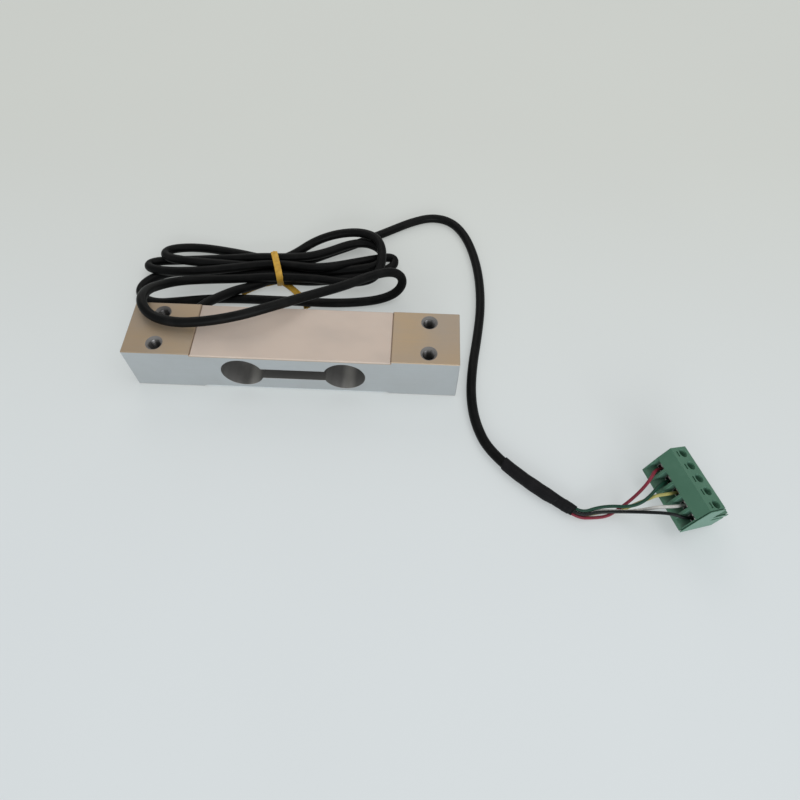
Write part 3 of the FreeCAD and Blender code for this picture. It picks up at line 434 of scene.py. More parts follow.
class SplineCord:
    """A cord whose middle line is one open NURBS spline."""

    def __init__(self, name: str, route: Sequence[Point], diameter: float) -> None:
        """Makes the curve object.

        Args:
            name: Name of the piece.
            route: Control points, in millimetres.
            diameter: Outside diameter, in millimetres.
        """
        self.diameter = diameter
        data = bpy.data.curves.new(name, "CURVE")
        data.dimensions = "3D"
        data.resolution_u = 12
        data.bevel_depth = diameter / 2 * MM
        data.bevel_resolution = 6
        data.use_fill_caps = True
        data.twist_mode = "MINIMUM"
        spline = data.splines.new("NURBS")
        spline.points.add(len(route) - 1)
        for point, place in zip(spline.points, route):
            point.co = (place[0] * MM, place[1] * MM, place[2] * MM, 1.0)
        spline.order_u = 3
        spline.use_endpoint_u = True
        self.piece = bpy.data.objects.new(name, data)
        bpy.context.scene.collection.objects.link(self.piece)

    def line(self) -> np.ndarray:
        """Reads the spline's own line, with no bevel.

        Returns:
            Points along the middle line, in metres.
        """
        bare = bpy.data.objects.new("bare", self.piece.data.copy())
        bare.data.bevel_depth = 0.0
        mesh = bpy.data.meshes.new_from_object(bare)
        points = np.array([vertex.co for vertex in mesh.vertices], float)
        bpy.data.meshes.remove(mesh)
        bpy.data.curves.remove(bare.data)
        return points

    def length(self) -> float:
        """Measures the spline.

        Returns:
            Its length, in metres.
        """
        return float(np.linalg.norm(np.diff(self.line(), axis=0), axis=1).sum())


# -------------------------------------------------------------- node building
class NodeCanvas:
    """A material's node tree with short calls for the usual nodes."""

    def __init__(self, name: str) -> None:
        """Starts an empty material.

        Args:
            name: Name of the material.
        """
        self.material = bpy.data.materials.new(name)
        self.material.use_nodes = True
        self.tree = self.material.node_tree
        self.tree.nodes.clear()
        self.output = self.tree.nodes.new("ShaderNodeOutputMaterial")
        self.coords = self.tree.nodes.new("ShaderNodeTexCoord")

    def link(self, source: Socket, target: Socket) -> None:
        """Joins two sockets."""
        self.tree.links.new(source, target)

    def feed(self, socket: Socket, value: Feed) -> None:
        """Sets a socket to a constant, or links it to another socket.

        Args:
            socket: The input.
            value: A number, a colour or an output socket.
        """
        if isinstance(value, Socket):
            self.link(value, socket)
        elif isinstance(value, tuple) and len(value) == 3 and socket.type == "RGBA":
            socket.default_value = (*value, 1.0)
        else:
            socket.default_value = value

    def noise(
        self, cells: float | Point, detail: float = 3.0, roughness: float = 0.55,
    ) -> Socket:
        """Adds a noise in the object's own coordinates.

        Args:
            cells: Cells per metre, one number for all ways or one for each axis.
            detail: Octaves.
            roughness: Weight of the finer octaves.

        Returns:
            The noise's value, 0 to 1.
        """
        mapping = self.tree.nodes.new("ShaderNodeMapping")
        mapping.inputs["Scale"].default_value = cells if isinstance(cells, tuple) else (cells,) * 3
        self.link(self.coords.outputs["Object"], mapping.inputs["Vector"])
        node = self.tree.nodes.new("ShaderNodeTexNoise")
        node.inputs["Scale"].default_value = 1.0
        node.inputs["Detail"].default_value = detail
        node.inputs["Roughness"].default_value = roughness
        self.link(mapping.outputs["Vector"], node.inputs["Vector"])
        return node.outputs["Fac"]

    def ramp(
        self, value: Socket, span: tuple[float, float], result: tuple[float, float] = (0.0, 1.0),
    ) -> Socket:
        """Maps a range of values onto another, smoothly and clamped.

        Args:
            value: What is mapped.
            span: The two values that become the two results.
            result: The two results.

        Returns:
            The mapped value.
        """
        node = self.tree.nodes.new("ShaderNodeMapRange")
        node.interpolation_type = "SMOOTHSTEP"
        self.link(value, node.inputs["Value"])
        node.inputs["From Min"].default_value, node.inputs["From Max"].default_value = span
        node.inputs["To Min"].default_value, node.inputs["To Max"].default_value = result
        return node.outputs["Result"]

    def mix(self, factor: Feed, first: Feed, second: Feed) -> Socket:
        """Mixes two colours.

        Args:
            factor: Share of the second.
            first: A colour or a socket.
            second: A colour or a socket.

        Returns:
            The mixed colour.
        """
        node = self.tree.nodes.new("ShaderNodeMix")
        node.data_type = "RGBA"
        self.feed(node.inputs["Factor"], factor)
        self.feed(node.inputs[6], first)
        self.feed(node.inputs[7], second)
        return node.outputs[2]

    def sum(self, kind: str, first: Feed, second: Feed) -> Socket:
        """Adds a math node.

        Args:
            kind: The operation, such as MULTIPLY.
            first: A number or a socket.
            second: A number or a socket.

        Returns:
            The result.
        """
        node = self.tree.nodes.new("ShaderNodeMath")
        node.operation = kind
        self.feed(node.inputs[0], first)
        self.feed(node.inputs[1], second)
        return node.outputs[0]

    def part_of(self, source: Socket, axis: str) -> Socket:
        """Takes one component of a vector.

        Args:
            source: The vector.
            axis: X, Y or Z.

        Returns:
            That component.
        """
        node = self.tree.nodes.new("ShaderNodeSeparateXYZ")
        self.link(source, node.inputs[0])
        return node.outputs[axis]

    def place(self, axis: str) -> Socket:
        """Gives the object's own place along an axis, in metres."""
        return self.part_of(self.coords.outputs["Object"], axis)

    def along(
        self, axis: str, span: tuple[float, float], result: tuple[float, float] = (0.0, 1.0),
    ) -> Socket:
        """Maps the object's own places along an axis.

        Args:
            axis: X, Y or Z.
            span: The two places that get the two results, in millimetres.
            result: The two results.

        Returns:
            The mapped value.
        """
        return self.ramp(self.place(axis), (span[0] * MM, span[1] * MM), result)

    def size_of(self, value: Feed) -> Socket:
        """Drops a number's sign."""
        return self.sum("ABSOLUTE", value, 0.0)

    def near_holes(self) -> Socket:
        """Gives 1 on the chamfers of the beam's four mounting holes.

        Returns:
            1 on a chamfer, 0 elsewhere.
        """
        x = self.sum("SUBTRACT", self.size_of(self.place("X")), BEAM.hole_along * MM)
        y = self.sum("SUBTRACT", self.size_of(self.place("Y")), BEAM.hole_across * MM)
        square = self.sum("ADD", self.sum("MULTIPLY", x, x), self.sum("MULTIPLY", y, y))
        slanted = self.ramp(self.size_of(self.facing("Z")), (0.90, 0.96), (1.0, 0.0))
        near = self.sum("LESS_THAN", square, (BEAM.mouth * MM) ** 2)
        return self.sum("MULTIPLY", near, slanted)

    def within(self, axis: str, half: float) -> Socket:
        """Gives 1 nearer than half, in millimetres, to the object's middle along an axis."""
        return self.sum("LESS_THAN", self.size_of(self.place(axis)), half * MM)

    def facing(self, axis: str) -> Socket:
        """Gives how far the true surface faces along an axis, -1 to 1."""
        node = self.tree.nodes.new("ShaderNodeNewGeometry")
        return self.part_of(node.outputs["Normal"], axis)

    def bump(
        self, height: Socket, depth: float, strength: float,
        under: Socket | None = None,
    ) -> Socket:
        """Turns a height into a bent normal.

        Args:
            height: The height, 0 to 1.
            depth: What a height of 1 stands for, in millimetres.
            strength: Share of the effect.
            under: A normal that it adds to.

        Returns:
            The normal.
        """
        node = self.tree.nodes.new("ShaderNodeBump")
        node.inputs["Strength"].default_value = strength
        node.inputs["Distance"].default_value = depth * MM
        self.link(height, node.inputs["Height"])
        if under is not None:
            self.link(under, node.inputs["Normal"])
        return node.outputs["Normal"]

    def surface(
        self, colour: Feed, roughness: Feed, metallic: float = 0.0,
        normal: Socket | None = None, specular: float = 0.5,
        glow: tuple[Feed, Feed] | None = None, scatter: float = 0.0,
    ) -> bpy.types.Material:
        """Closes the material with one principled surface.

        Args:
            colour: Base colour.
            roughness: Roughness.
            metallic: 1 for bare metal.
            normal: Bent normal, if any.
            specular: Strength of the reflection of a plain surface.
            glow: Colour and strength of its own light, if any.
            scatter: Weight of light that enters the surface.

        Returns:
            The finished material.
        """
        shader = self.tree.nodes.new("ShaderNodeBsdfPrincipled")
        self.feed(shader.inputs["Base Color"], colour)
        self.feed(shader.inputs["Roughness"], roughness)
        shader.inputs["Metallic"].default_value = metallic
        shader.inputs["Specular IOR Level"].default_value = specular
        if scatter:
            shader.inputs["Subsurface Weight"].default_value = scatter
            shader.inputs["Subsurface Radius"].default_value = (1.0, 0.8, 0.7)
            shader.inputs["Subsurface Scale"].default_value = 0.6 * MM
        if glow is not None:
            self.feed(shader.inputs["Emission Color"], glow[0])
            self.feed(shader.inputs["Emission Strength"], glow[1])
        if normal is not None:
            self.link(normal, shader.inputs["Normal"])
        self.link(shader.outputs["BSDF"], self.output.inputs["Surface"])
        return self.material


# ------------------------------------------------------------------- finishes
@dataclass(frozen=True)
class MilledAluminium:
    """Milled beam: warm conversion coat on the pads, bare sides whose pale bluish colour is partly
    a painted reflection of the table.

    Attributes:
        top: Colour of the faces that look up or down.
        aged: The same, where its coat is thinner.
        left_end_shade: The same, darker towards the cable's end of the beam as painted shade.
        side: Colour of the faces that look sideways, bare metal made pale and bluish partly as a
            painted reflection of the table.
        scuff: Colour where the surface is scuffed.
        mark: Colour along the milling marks.
        cut: Colour inside the flexure opening, dark as painted shade.
        glint: Colour of the painted highlight bands inside it.
        glints: Where those bands lie along the beam, in millimetres.
        step: Colour of the pads' inner walls, set pale as painted light that lifts the shade in the
            seams.
        mouth: Colour of the chamfer at each thread, dark as painted shade.
        rough: Its roughness, from and to.
    """

    top: Point = (0.46, 0.335, 0.205)
    aged: Point = (0.43, 0.328, 0.228)
    # Painted shade of the coat towards the cable's end of the beam.
    left_end_shade: Point = (0.32, 0.235, 0.150)
    # Bare metal, paler and bluer in part as a painted reflection of the table.
    side: Point = (0.452, 0.480, 0.492)
    scuff: Point = (0.36, 0.36, 0.35)
    mark: Point = (0.30, 0.29, 0.27)
    # Painted shade inside the flexure opening, then the colour of its painted highlight bands.
    cut: Point = (0.165, 0.16, 0.152)
    glint: Point = (0.46, 0.445, 0.41)
    glints: tuple[float, float] = (-16.5, 21.5)
    # Coat colour on the inner walls, set lighter as painted light against the shade in the seams.
    step: Point = (0.44, 0.33, 0.23)
    # Painted shade on the chamfers of the mounting holes.
    mouth: Point = (0.23, 0.22, 0.21)
    rough: tuple[float, float] = (0.42, 0.56)

    def coat(self, canvas: NodeCanvas) -> Socket:
        """Gives the colour of the conversion coat on the pads, with painted shade towards the
        cable's end.

        Args:
            canvas: The material in the making.

        Returns:
            The colour.
        """
        drift = canvas.noise((28.0, 40.0, 28.0), 2.0)
        coat = canvas.mix(canvas.ramp(drift, (0.36, 0.64)), self.top, self.aged)
        # Painted shade: the pads darken towards the cable's end of the beam.
        return canvas.mix(canvas.along("X", (-60.0, -36.0), (0.5, 0.0)), coat, self.left_end_shade)

    def opening(self, canvas: NodeCanvas) -> Socket:
        """Gives the colour inside the flexure opening.

        Args:
            canvas: The material in the making.

        Returns:
            The colour: painted shade with two painted highlight bands.
        """
        bands = []
        for middle in self.glints:
            off = canvas.size_of(canvas.sum("SUBTRACT", canvas.place("X"), middle * MM))
            bands.append(canvas.ramp(off, (0.4 * MM, 3.6 * MM), (0.6, 0.0)))
        return canvas.mix(canvas.sum("ADD", *bands), self.cut, self.glint)

    def build(self, name: str) -> bpy.types.Material:
        """Makes the material.

        Args:
            name: The material's name.

        Returns:
            The material.
        """
        canvas = NodeCanvas(name)
        flat = canvas.ramp(canvas.size_of(canvas.facing("Z")), (0.50, 0.68))
        high = canvas.along("Z", BEAM.top_layer)
        low = canvas.along("Z", BEAM.bottom_layer, (1.0, 0.0))
        inside = canvas.sum(
            "MULTIPLY", canvas.within("X", BEAM.opening), canvas.within("Y", BEAM.inner))
        for layer in (high, low):
            inside = canvas.sum("MULTIPLY", inside, canvas.sum("SUBTRACT", 1.0, layer))
        step = canvas.sum("MULTIPLY", canvas.within("X", BEAM.pad), high)
        mouth = canvas.near_holes()
        cloud = canvas.noise(60.0, 4.0)
        lines = canvas.noise((35.0, 5200.0, 5200.0), 2.0)
        cross = canvas.noise((3800.0, 3800.0, 60.0), 2.0)
        # Sideways faces take the bare colour, partly a painted reflection of the table.
        tint = canvas.mix(flat, self.side, self.coat(canvas))
        tint = canvas.mix(canvas.ramp(cloud, (0.35, 0.75), (0.0, 0.22)), tint, self.scuff)
        tint = canvas.mix(canvas.ramp(lines, (0.3, 0.7), (0.0, 0.14)), tint, self.mark)
        # The flexure opening is painted dark as painted shade, with two painted highlight bands.
        tint = canvas.mix(inside, tint, self.opening(canvas))
        # The pads' inner walls are painted pale: painted light that lifts the shade in the seams.
        tint = canvas.mix(step, tint, self.step)
        # The chamfers of the mounting holes are painted dark: painted shade.
        tint = canvas.mix(mouth, tint, self.mouth)
        rough = canvas.ramp(cloud, (0.2, 0.8), self.rough)
        rough = canvas.sum("MAXIMUM", rough, canvas.sum("MULTIPLY", mouth, 0.85))
        milled = canvas.bump(lines, 0.02, 0.35)
        normal = canvas.bump(cross, 0.01, 0.25, milled)
        return canvas.surface(tint, rough, metallic=0.35, normal=normal)


@dataclass(frozen=True)
class Silicone:
    """White sealing compound, slightly uneven, with a soft sheen.

    Attributes:
        tone: Its colour.
        deep: Colour in its shallow dents.
        dust: Colour of specks of dust on it.
        clear: Colour of the thin cover under the beam.
        rough: Its roughness, from and to.
    """

    tone: Point = (0.63, 0.517, 0.432)
    deep: Point = (0.51, 0.43, 0.37)
    dust: Point = (0.45, 0.38, 0.34)
    clear: Point = (0.72, 0.77, 0.78)
    rough: tuple[float, float] = (0.38, 0.52)

    def build(self, name: str) -> bpy.types.Material:
        """Makes the material.

        Args:
            name: The material's name.

        Returns:
            The material.
        """
        canvas = NodeCanvas(name)
        swell = canvas.noise((45.0, 70.0, 60.0), 2.0)
        specks = canvas.noise(2400.0)
        tint = canvas.mix(canvas.ramp(swell, (0.3, 0.7), (0.0, 0.5)), self.tone, self.deep)
        tint = canvas.mix(canvas.ramp(specks, (0.70, 0.80), (0.0, 0.12)), tint, self.dust)
        tint = canvas.mix(canvas.along("Z", (4.0, 6.0), (1.0, 0.0)), tint, self.clear)
        rough = canvas.ramp(swell, (0.2, 0.8), self.rough)
        soft = canvas.bump(swell, 1.2, 0.25)
        normal = canvas.bump(specks, 0.02, 0.15, soft)
        return canvas.surface(tint, rough, normal=normal, specular=0.42, scatter=0.15)


@dataclass(frozen=True)
class Jacket:
    """Extruded cable jacket with faint scuffs.

    Attributes:
        tone: Its colour.
        worn: Colour of the scuffs.
        rough: Mean roughness.
        gloss: Strength of its reflection.
    """

    tone: Point = (0.0050, 0.0052, 0.0050)
    worn: Point = (0.0130, 0.0125, 0.0120)
    rough: float = 0.40
    gloss: float = 0.09

    def build(self, name: str) -> bpy.types.Material:
        """Makes the material.

        Args:
            name: The material's name.

        Returns:
            The material.
        """
        canvas = NodeCanvas(name)
        cloud = canvas.noise(160.0, 4.0)
        grain = canvas.noise(2600.0, 2.0)
        tint = canvas.mix(canvas.ramp(cloud, (0.45, 0.78), (0.0, 0.7)), self.tone, self.worn)
        rough = canvas.ramp(cloud, (0.2, 0.8), (self.rough - 0.06, self.rough + 0.10))
        normal = canvas.bump(grain, 0.03, 0.25)
        return canvas.surface(tint, rough, normal=normal, specular=self.gloss)


@dataclass(frozen=True)
class Insulation:
    """Thin glossy insulation of a core.

    Attributes:
        tone: Its colour.
        gloss: Strength of its reflection.
        shade: How dark its darker places are beside the rest.
        rough: Its roughness, from and to.
    """

    tone: Point
    gloss: float = 0.22
    shade: float = 0.72
    rough: tuple[float, float] = (0.28, 0.42)

    def build(self, name: str) -> bpy.types.Material:
        """Makes the material.

        Args:
            name: The material's name.

        Returns:
            The material.
        """
        canvas = NodeCanvas(name)
        cloud = canvas.noise(500.0)
        darker = tuple(value * self.shade for value in self.tone)
        tint = canvas.mix(canvas.ramp(cloud, (0.3, 0.75), (0.0, 0.8)), self.tone, darker)
        rough = canvas.ramp(cloud, (0.2, 0.8), self.rough)
        normal = canvas.bump(cloud, 0.04, 0.2)
        return canvas.surface(tint, rough, normal=normal, specular=self.gloss)


@dataclass(frozen=True)
class Moulding:
    """Moulded plastic with a fine spark eroded grain.

    Attributes:
        tone: Its colour.
        light: Colour where the surface has paled.
        rough: Mean roughness.
        grain: Cells of the grain per metre.
        sheen: Paler colour of the faces that look to the front, a painted highlight, if any.
    """

    tone: Point = (0.066, 0.176, 0.110)
    light: Point = (0.084, 0.204, 0.132)
    rough: float = 0.46
    grain: float = 3200.0
    # Painted highlight for faces that look to the front.
    sheen: Point | None = None

    def build(self, name: str) -> bpy.types.Material:
        """Makes the material.

        Args:
            name: The material's name.

        Returns:
            The material.
        """
        canvas = NodeCanvas(name)
        cloud = canvas.noise(150.0)
        grain = canvas.noise(self.grain, 2.0)
        tint = canvas.mix(canvas.ramp(cloud, (0.35, 0.75), (0.0, 0.8)), self.tone, self.light)
        # Faces that look to the front are painted paler: painted highlight.
        if self.sheen is not None:
            end = canvas.ramp(canvas.facing("Y"), (-0.93, -0.86), (1.0, 0.0))
            tint = canvas.mix(end, tint, self.sheen)
        rough = canvas.ramp(grain, (0.2, 0.8), (self.rough - 0.08, self.rough + 0.08))
        normal = canvas.bump(grain, 0.04, 0.22)
        return canvas.surface(tint, rough, normal=normal, specular=0.45)


@dataclass(frozen=True)
class PlatedMetal:
    """Small plated metal pieces.

    Attributes:
        tone: Its colour.
        stain: Colour of faint stains.
        rough: Mean roughness.
        lay: Cells per metre along each axis of the fine marks.
    """

    tone: Point
    stain: Point
    rough: float
    lay: Point = (400.0, 400.0, 6000.0)

    def build(self, name: str) -> bpy.types.Material:
        """Makes the material.

        Args:
            name: The material's name.

        Returns:
            The material.
        """
        canvas = NodeCanvas(name)
        cloud = canvas.noise(700.0)
        marks = canvas.noise(self.lay, 2.0)
        tint = canvas.mix(canvas.ramp(cloud, (0.4, 0.75), (0.0, 0.6)), self.tone, self.stain)
        rough = canvas.ramp(cloud, (0.2, 0.8), (self.rough - 0.06, self.rough + 0.14))
        normal = canvas.bump(marks, 0.02, 0.3)
        return canvas.surface(tint, rough, metallic=1.0, normal=normal)


@dataclass(frozen=True)
class CutThread:
    """Thread walls: painted shade deep in the hole, with painted highlight streaks near the mouth.

    Attributes:
        tone: Colour of the painted highlight streaks.
        deep: Colour between them, painted shade.
        grime: Colour of the oily spots.
        highlight_streak: Where the narrow painted highlight streak lies beside the hole's middle,
            in millimetres.
    """

    # Colours of the painted highlight streaks and of the painted shade between them.
    tone: Point = (0.62, 0.61, 0.60)
    deep: Point = (0.14, 0.135, 0.13)
    grime: Point = (0.20, 0.18, 0.16)
    highlight_streak: float = -1.25

    def build(self, name: str) -> bpy.types.Material:
        """Makes the material.

        Args:
            name: The material's name.

        Returns:
            The material.
        """
        canvas = NodeCanvas(name)
        x = canvas.place("X")
        middle = canvas.sum("MULTIPLY", canvas.sum("SIGN", x, 0.0), BEAM.hole_along * MM)
        off = canvas.sum("SUBTRACT", x, middle)
        beside = canvas.size_of(canvas.sum("SUBTRACT", off, self.highlight_streak * MM))
        # Painted highlights: a narrow streak beside the hole's middle and a broad band on its +X
        # side, strongest far from the hole's mid depth.
        left = canvas.ramp(beside, (0.1 * MM, 0.7 * MM), (1.0, 0.0))
        right = canvas.ramp(off, (0.7 * MM, 2.0 * MM), (0.0, 0.75))
        rise = canvas.size_of(canvas.sum("SUBTRACT", canvas.place("Z"), BEAM.middle * MM))
        near = canvas.ramp(rise, (4.5 * MM, 9.8 * MM), (0.15, 1.0))
        highlight_streak = canvas.sum("MULTIPLY", canvas.sum("MAXIMUM", left, right), near)
        cloud = canvas.noise(900.0)
        # Painted shade between the painted highlight streaks.
        tint = canvas.mix(highlight_streak, self.deep, self.tone)
        worn = canvas.mix(canvas.ramp(cloud, (0.4, 0.75), (0.0, 0.3)), tint, self.grime)
        return canvas.surface(worn, 0.45, metallic=0.45, specular=0.4)


@dataclass(frozen=True)
class TieWrap:
    """Yellow plastic skin of the flat twist tie.

    Attributes:
        tone: Its colour.
        shade: Colour where it is soiled or creased.
        rough: Its roughness, from and to.
    """

    tone: Point = (0.74, 0.43, 0.048)
    shade: Point = (0.52, 0.28, 0.032)
    rough: tuple[float, float] = (0.42, 0.58)

    def build(self, name: str) -> bpy.types.Material:
        """Makes the material.

        Args:
            name: The material's name.

        Returns:
            The material.
        """
        canvas = NodeCanvas(name)
        cloud = canvas.noise(420.0)
        ribs = canvas.noise(1800.0, 2.0)
        tint = canvas.mix(canvas.ramp(cloud, (0.38, 0.75), (0.0, 0.8)), self.tone, self.shade)
        rough = canvas.ramp(cloud, (0.2, 0.8), self.rough)
        normal = canvas.bump(ribs, 0.05, 0.3)
        return canvas.surface(tint, rough, normal=normal, specular=0.4)


@dataclass(frozen=True)
class TableTop:
    """The pale table that the part lies on.

    Attributes:
        far: Colour behind the part, darker as painted light falloff.
        near: Colour in front of it, brighter as painted light.
        mottle: Colour of its faint clouds.
        seen: Share of its colour that the camera sees lit.
        pale: Strength of its own pale tone as the camera sees it.
    """

    far: Point = (0.66, 0.68, 0.64)
    near: Point = (0.72, 0.76, 0.77)
    mottle: Point = (0.55, 0.55, 0.55)
    seen: float = 0.58
    pale: float = 0.45

    def build(self, name: str) -> bpy.types.Material:
        """Makes the material.

        Args:
            name: The material's name.

        Returns:
            The material.
        """
        canvas = NodeCanvas(name)
        # The table is painted brighter towards the front: painted light.
        tint = canvas.mix(canvas.along("Y", (-120.0, 180.0), (1.0, 0.0)), self.far, self.near)
        cloud = canvas.noise(7.0, 2.0)
        soft = canvas.mix(canvas.ramp(cloud, (0.3, 0.7), (0.0, 0.05)), tint, self.mottle)
        rays = canvas.tree.nodes.new("ShaderNodeLightPath").outputs
        sight = canvas.sum("MAXIMUM", rays["Is Camera Ray"], rays["Is Glossy Ray"])
        sight = canvas.sum("MAXIMUM", sight, rays["Is Transmission Ray"])
        dimmed = canvas.mix(self.seen, (0.0, 0.0, 0.0), soft)
        base = canvas.mix(sight, soft, dimmed)
        strength = canvas.sum("MULTIPLY", sight, self.pale)
        return canvas.surface(base, 0.80, specular=0.12, glow=(soft, strength))


# ---------------------------------------------------------------- mesh making
class MeshMaker:
    """Collects vertices and faces of one piece, in metres."""

    def __init__(self, name: str) -> None:
        """Starts an empty piece.

        Args:
            name: Name of the piece.
        """
        self.name = name
        self.points: list[Point] = []
        self.faces: list[tuple[int, ...]] = []

    def ring(self, places: Iterable[Sequence[float]]) -> list[int]:
        """Adds points and returns their numbers."""
        first = len(self.points)
        self.points += [tuple(float(value) for value in place) for place in places]
        return list(range(first, len(self.points)))

    def bridge(self, first: list[int], second: list[int], closed: bool = True) -> None:
        """Joins two rings of as many points with quads.

        Args:
            first: Numbers of the first ring's points.
            second: Numbers of the second ring's points.
            closed: Whether the last point is joined to the first.
        """
        count = len(first)
        for i in range(count if closed else count - 1):
            j = (i + 1) % count
            self.faces.append((first[i], first[j], second[j], second[i]))

    def cap(self, ring: list[int], reverse: bool = False) -> None:
        """Closes a ring with one face."""
        self.faces.append(tuple(reversed(ring)) if reverse else tuple(ring))

    def build(self, smooth: bool = True) -> bpy.types.Object:
        """Makes the object.

        Args:
            smooth: Whether its faces are shaded smooth.

        Returns:
            The object, linked to the scene.
        """
        mesh = bpy.data.meshes.new(self.name)
        mesh.from_pydata(self.points, [], self.faces)
        mesh.validate()
        mesh.update()
        if smooth:
            mesh.shade_smooth()
        piece = bpy.data.objects.new(self.name, mesh)
        bpy.context.scene.collection.objects.link(piece)
        return piece


class Frames:
    """Upright frames along a line, each with a side and a rise direction.

    Attributes:
        LEAN_TURN: Where on a slanted ring its lead begins, in radians.
    """

    LEAN_TURN: float = 0.6

    def __init__(self, line: np.ndarray) -> None:
        """Works the frames out once.

        Args:
            line: Points along the line, in metres.
        """
        self.line = line
        ahead = np.gradient(line, axis=0)
        self.ahead = ahead / np.linalg.norm(ahead, axis=1)[:, None]
        side = np.cross((0.0, 0.0, 1.0), self.ahead)
        self.side = side / np.linalg.norm(side, axis=1)[:, None]
        self.rise = np.cross(self.ahead, self.side)

    def circle(self, index: int, radius: float, steps: int, slant: float = 0.0) -> np.ndarray:
        """Gives a ring round the line.

        Args:
            index: Which point of the line.
            radius: Ring's radius, in metres.
            steps: Points of the ring.
            slant: How far its foremost point leads its middle, in metres.

        Returns:
            The ring's points.
        """
        turn = np.linspace(0.0, 2 * math.pi, steps, endpoint=False)[:, None]
        ring = self.line[index] + radius * (
            np.cos(turn) * self.side[index] + np.sin(turn) * self.rise[index])
        return ring + slant * np.sin(turn + self.LEAN_TURN) * self.ahead[index]


def distances(line: np.ndarray) -> np.ndarray:
    """Gives how far along a line each of its points is."""
    return np.concatenate([[0.0], np.cumsum(np.linalg.norm(np.diff(line, axis=0), axis=1))])


def evenly(line: np.ndarray, start: float, end: float, count: int) -> np.ndarray:
    """Divides a stretch of a line evenly.

    Args:
        line: The whole line.
        start: Where the stretch starts, along the line.
        end: Where it ends.
        count: How many points it gets.

    Returns:
        The stretch's points.
    """
    along = distances(line)
    wanted = np.linspace(start, end, count)
    return np.stack([np.interp(wanted, along, column) for column in line.T], axis=1)


def wear(piece: bpy.types.Object, material: bpy.types.Material) -> None:
    """Gives a piece one material."""
    piece.data.materials.clear()
    piece.data.materials.append(material)


def finish_piece(
    piece: bpy.types.Object, material: bpy.types.Material, slot: str, nodes: Sequence[str] = (),
) -> bpy.types.Object:
    """Seats a made piece on the part.

    Args:
        piece: The made piece.
        material: Its finish.
        slot: The record's material slot.
        nodes: CAD nodes that it stands for.

    Returns:
        The same piece.
    """
    wear(piece, material)
    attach(piece, "root")
    if nodes:
        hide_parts(*nodes)
    LOG.info("piece %s on slot %s, stands for %s", piece.name, slot, ", ".join(nodes) or "none")
    return piece


# ---------------------------------------------------------------- assemblies
@dataclass(frozen=True)
class ShrinkSleeve:
    """One shrink sleeve with thin, obliquely cut ends.

    Attributes:
        node: The CAD node that it stands for.
        radius: Outside radius.
        length: Its length, from its end towards the cores back.
        overlap: How far it goes on past that end.
        phase: Shift of its short waves, in radians.
        short: Height of its short waves, and radians of them along it.
        long: The same of its long waves, and their shift.
        inner: Radius of its inside.
        step: Distance between its rings.
        around: Points of each ring.
        thinning: How much smaller its radius gets at the ends.
        taper: How many times shorter than the sleeve that thinning is.
        end_share: Share of its length over which an end slants.
        back_lean: How far the ring at the back leans.
        front_lean: How far the ring at the cores' end leans.
        inside_rings: How many rings deep the inside is seen.
    """

    node: str
    radius: float
    length: float
    overlap: float
    phase: int
    short: tuple[float, float] = (0.035, 23.0)
    long: Point = (0.03, 9.0, 2.0)
    inner: float = CABLE_DIAMETER / 2 + 0.02
    step: float = 0.45
    around: int = 32
    thinning: float = 0.16
    taper: float = 6.0
    end_share: float = 0.15
    back_lean: float = -0.8
    front_lean: float = 0.9
    inside_rings: int = 3

    def radius_at(self, share: float) -> float:
        """Gives the outside radius, which waves slightly and thins at the ends.

        Args:
            share: Place along the sleeve, 0 to 1.

        Returns:
            The radius, in millimetres.
        """
        short = self.short[0] * math.sin(share * self.short[1] + self.phase)
        long = self.long[0] * math.sin(share * self.long[1] + self.long[2])
        thinner = self.thinning * (1.0 - min(1.0, self.taper * min(share, 1.0 - share)))
        return self.radius + (short + long) - thinner

    def lean_at(self, share: float) -> float:
        """Gives how far a ring leans, more towards the sleeve's ends.

        Args:
            share: Place along the sleeve, 0 to 1.

        Returns:
            The lean, in millimetres.
        """
        if share > 1.0 - self.end_share:
            return self.front_lean * (share - (1.0 - self.end_share)) / self.end_share
        if share < self.end_share:
            return self.back_lean * (self.end_share - share) / self.end_share
        return 0.0

    def build(self, line: np.ndarray, end: float, material: bpy.types.Material) -> bpy.types.Object:
        """Makes the sleeve.

        Args:
            line: The cable's own line, in metres.
            end: Where the sleeve's length ends along it, in metres.
            material: Its finish.

        Returns:
            The piece.
        """
        start, stop = end - self.length * MM, end + self.overlap * MM
        count = max(3, int(round((stop - start) / (self.step * MM))) + 1)
        frames = Frames(evenly(line, start, stop, count))
        maker = MeshMaker(self.node + "_skin")
        last = count - 1
        rings = []
        for index in range(count):
            share = index / last
            rings.append(maker.ring(frames.circle(
                index, self.radius_at(share) * MM, self.around, self.lean_at(share) * MM)))
        for first, second in zip(rings, rings[1:]):
            maker.bridge(first, second)
        inner = self.inner * MM
        back = [
            maker.ring(frames.circle(0, inner, self.around, self.back_lean * MM)),
            maker.ring(frames.circle(self.inside_rings, inner, self.around))]
        front = [
            maker.ring(frames.circle(last, inner, self.around, self.front_lean * MM)),
            maker.ring(frames.circle(last - self.inside_rings, inner, self.around))]
        for first, second in ((back[0], rings[0]), (back[1], back[0]),
                              (rings[-1], front[0]), (front[0], front[1])):
            maker.bridge(first, second)
        return finish_piece(maker.build(), material, "sleeve_black", (self.node,))


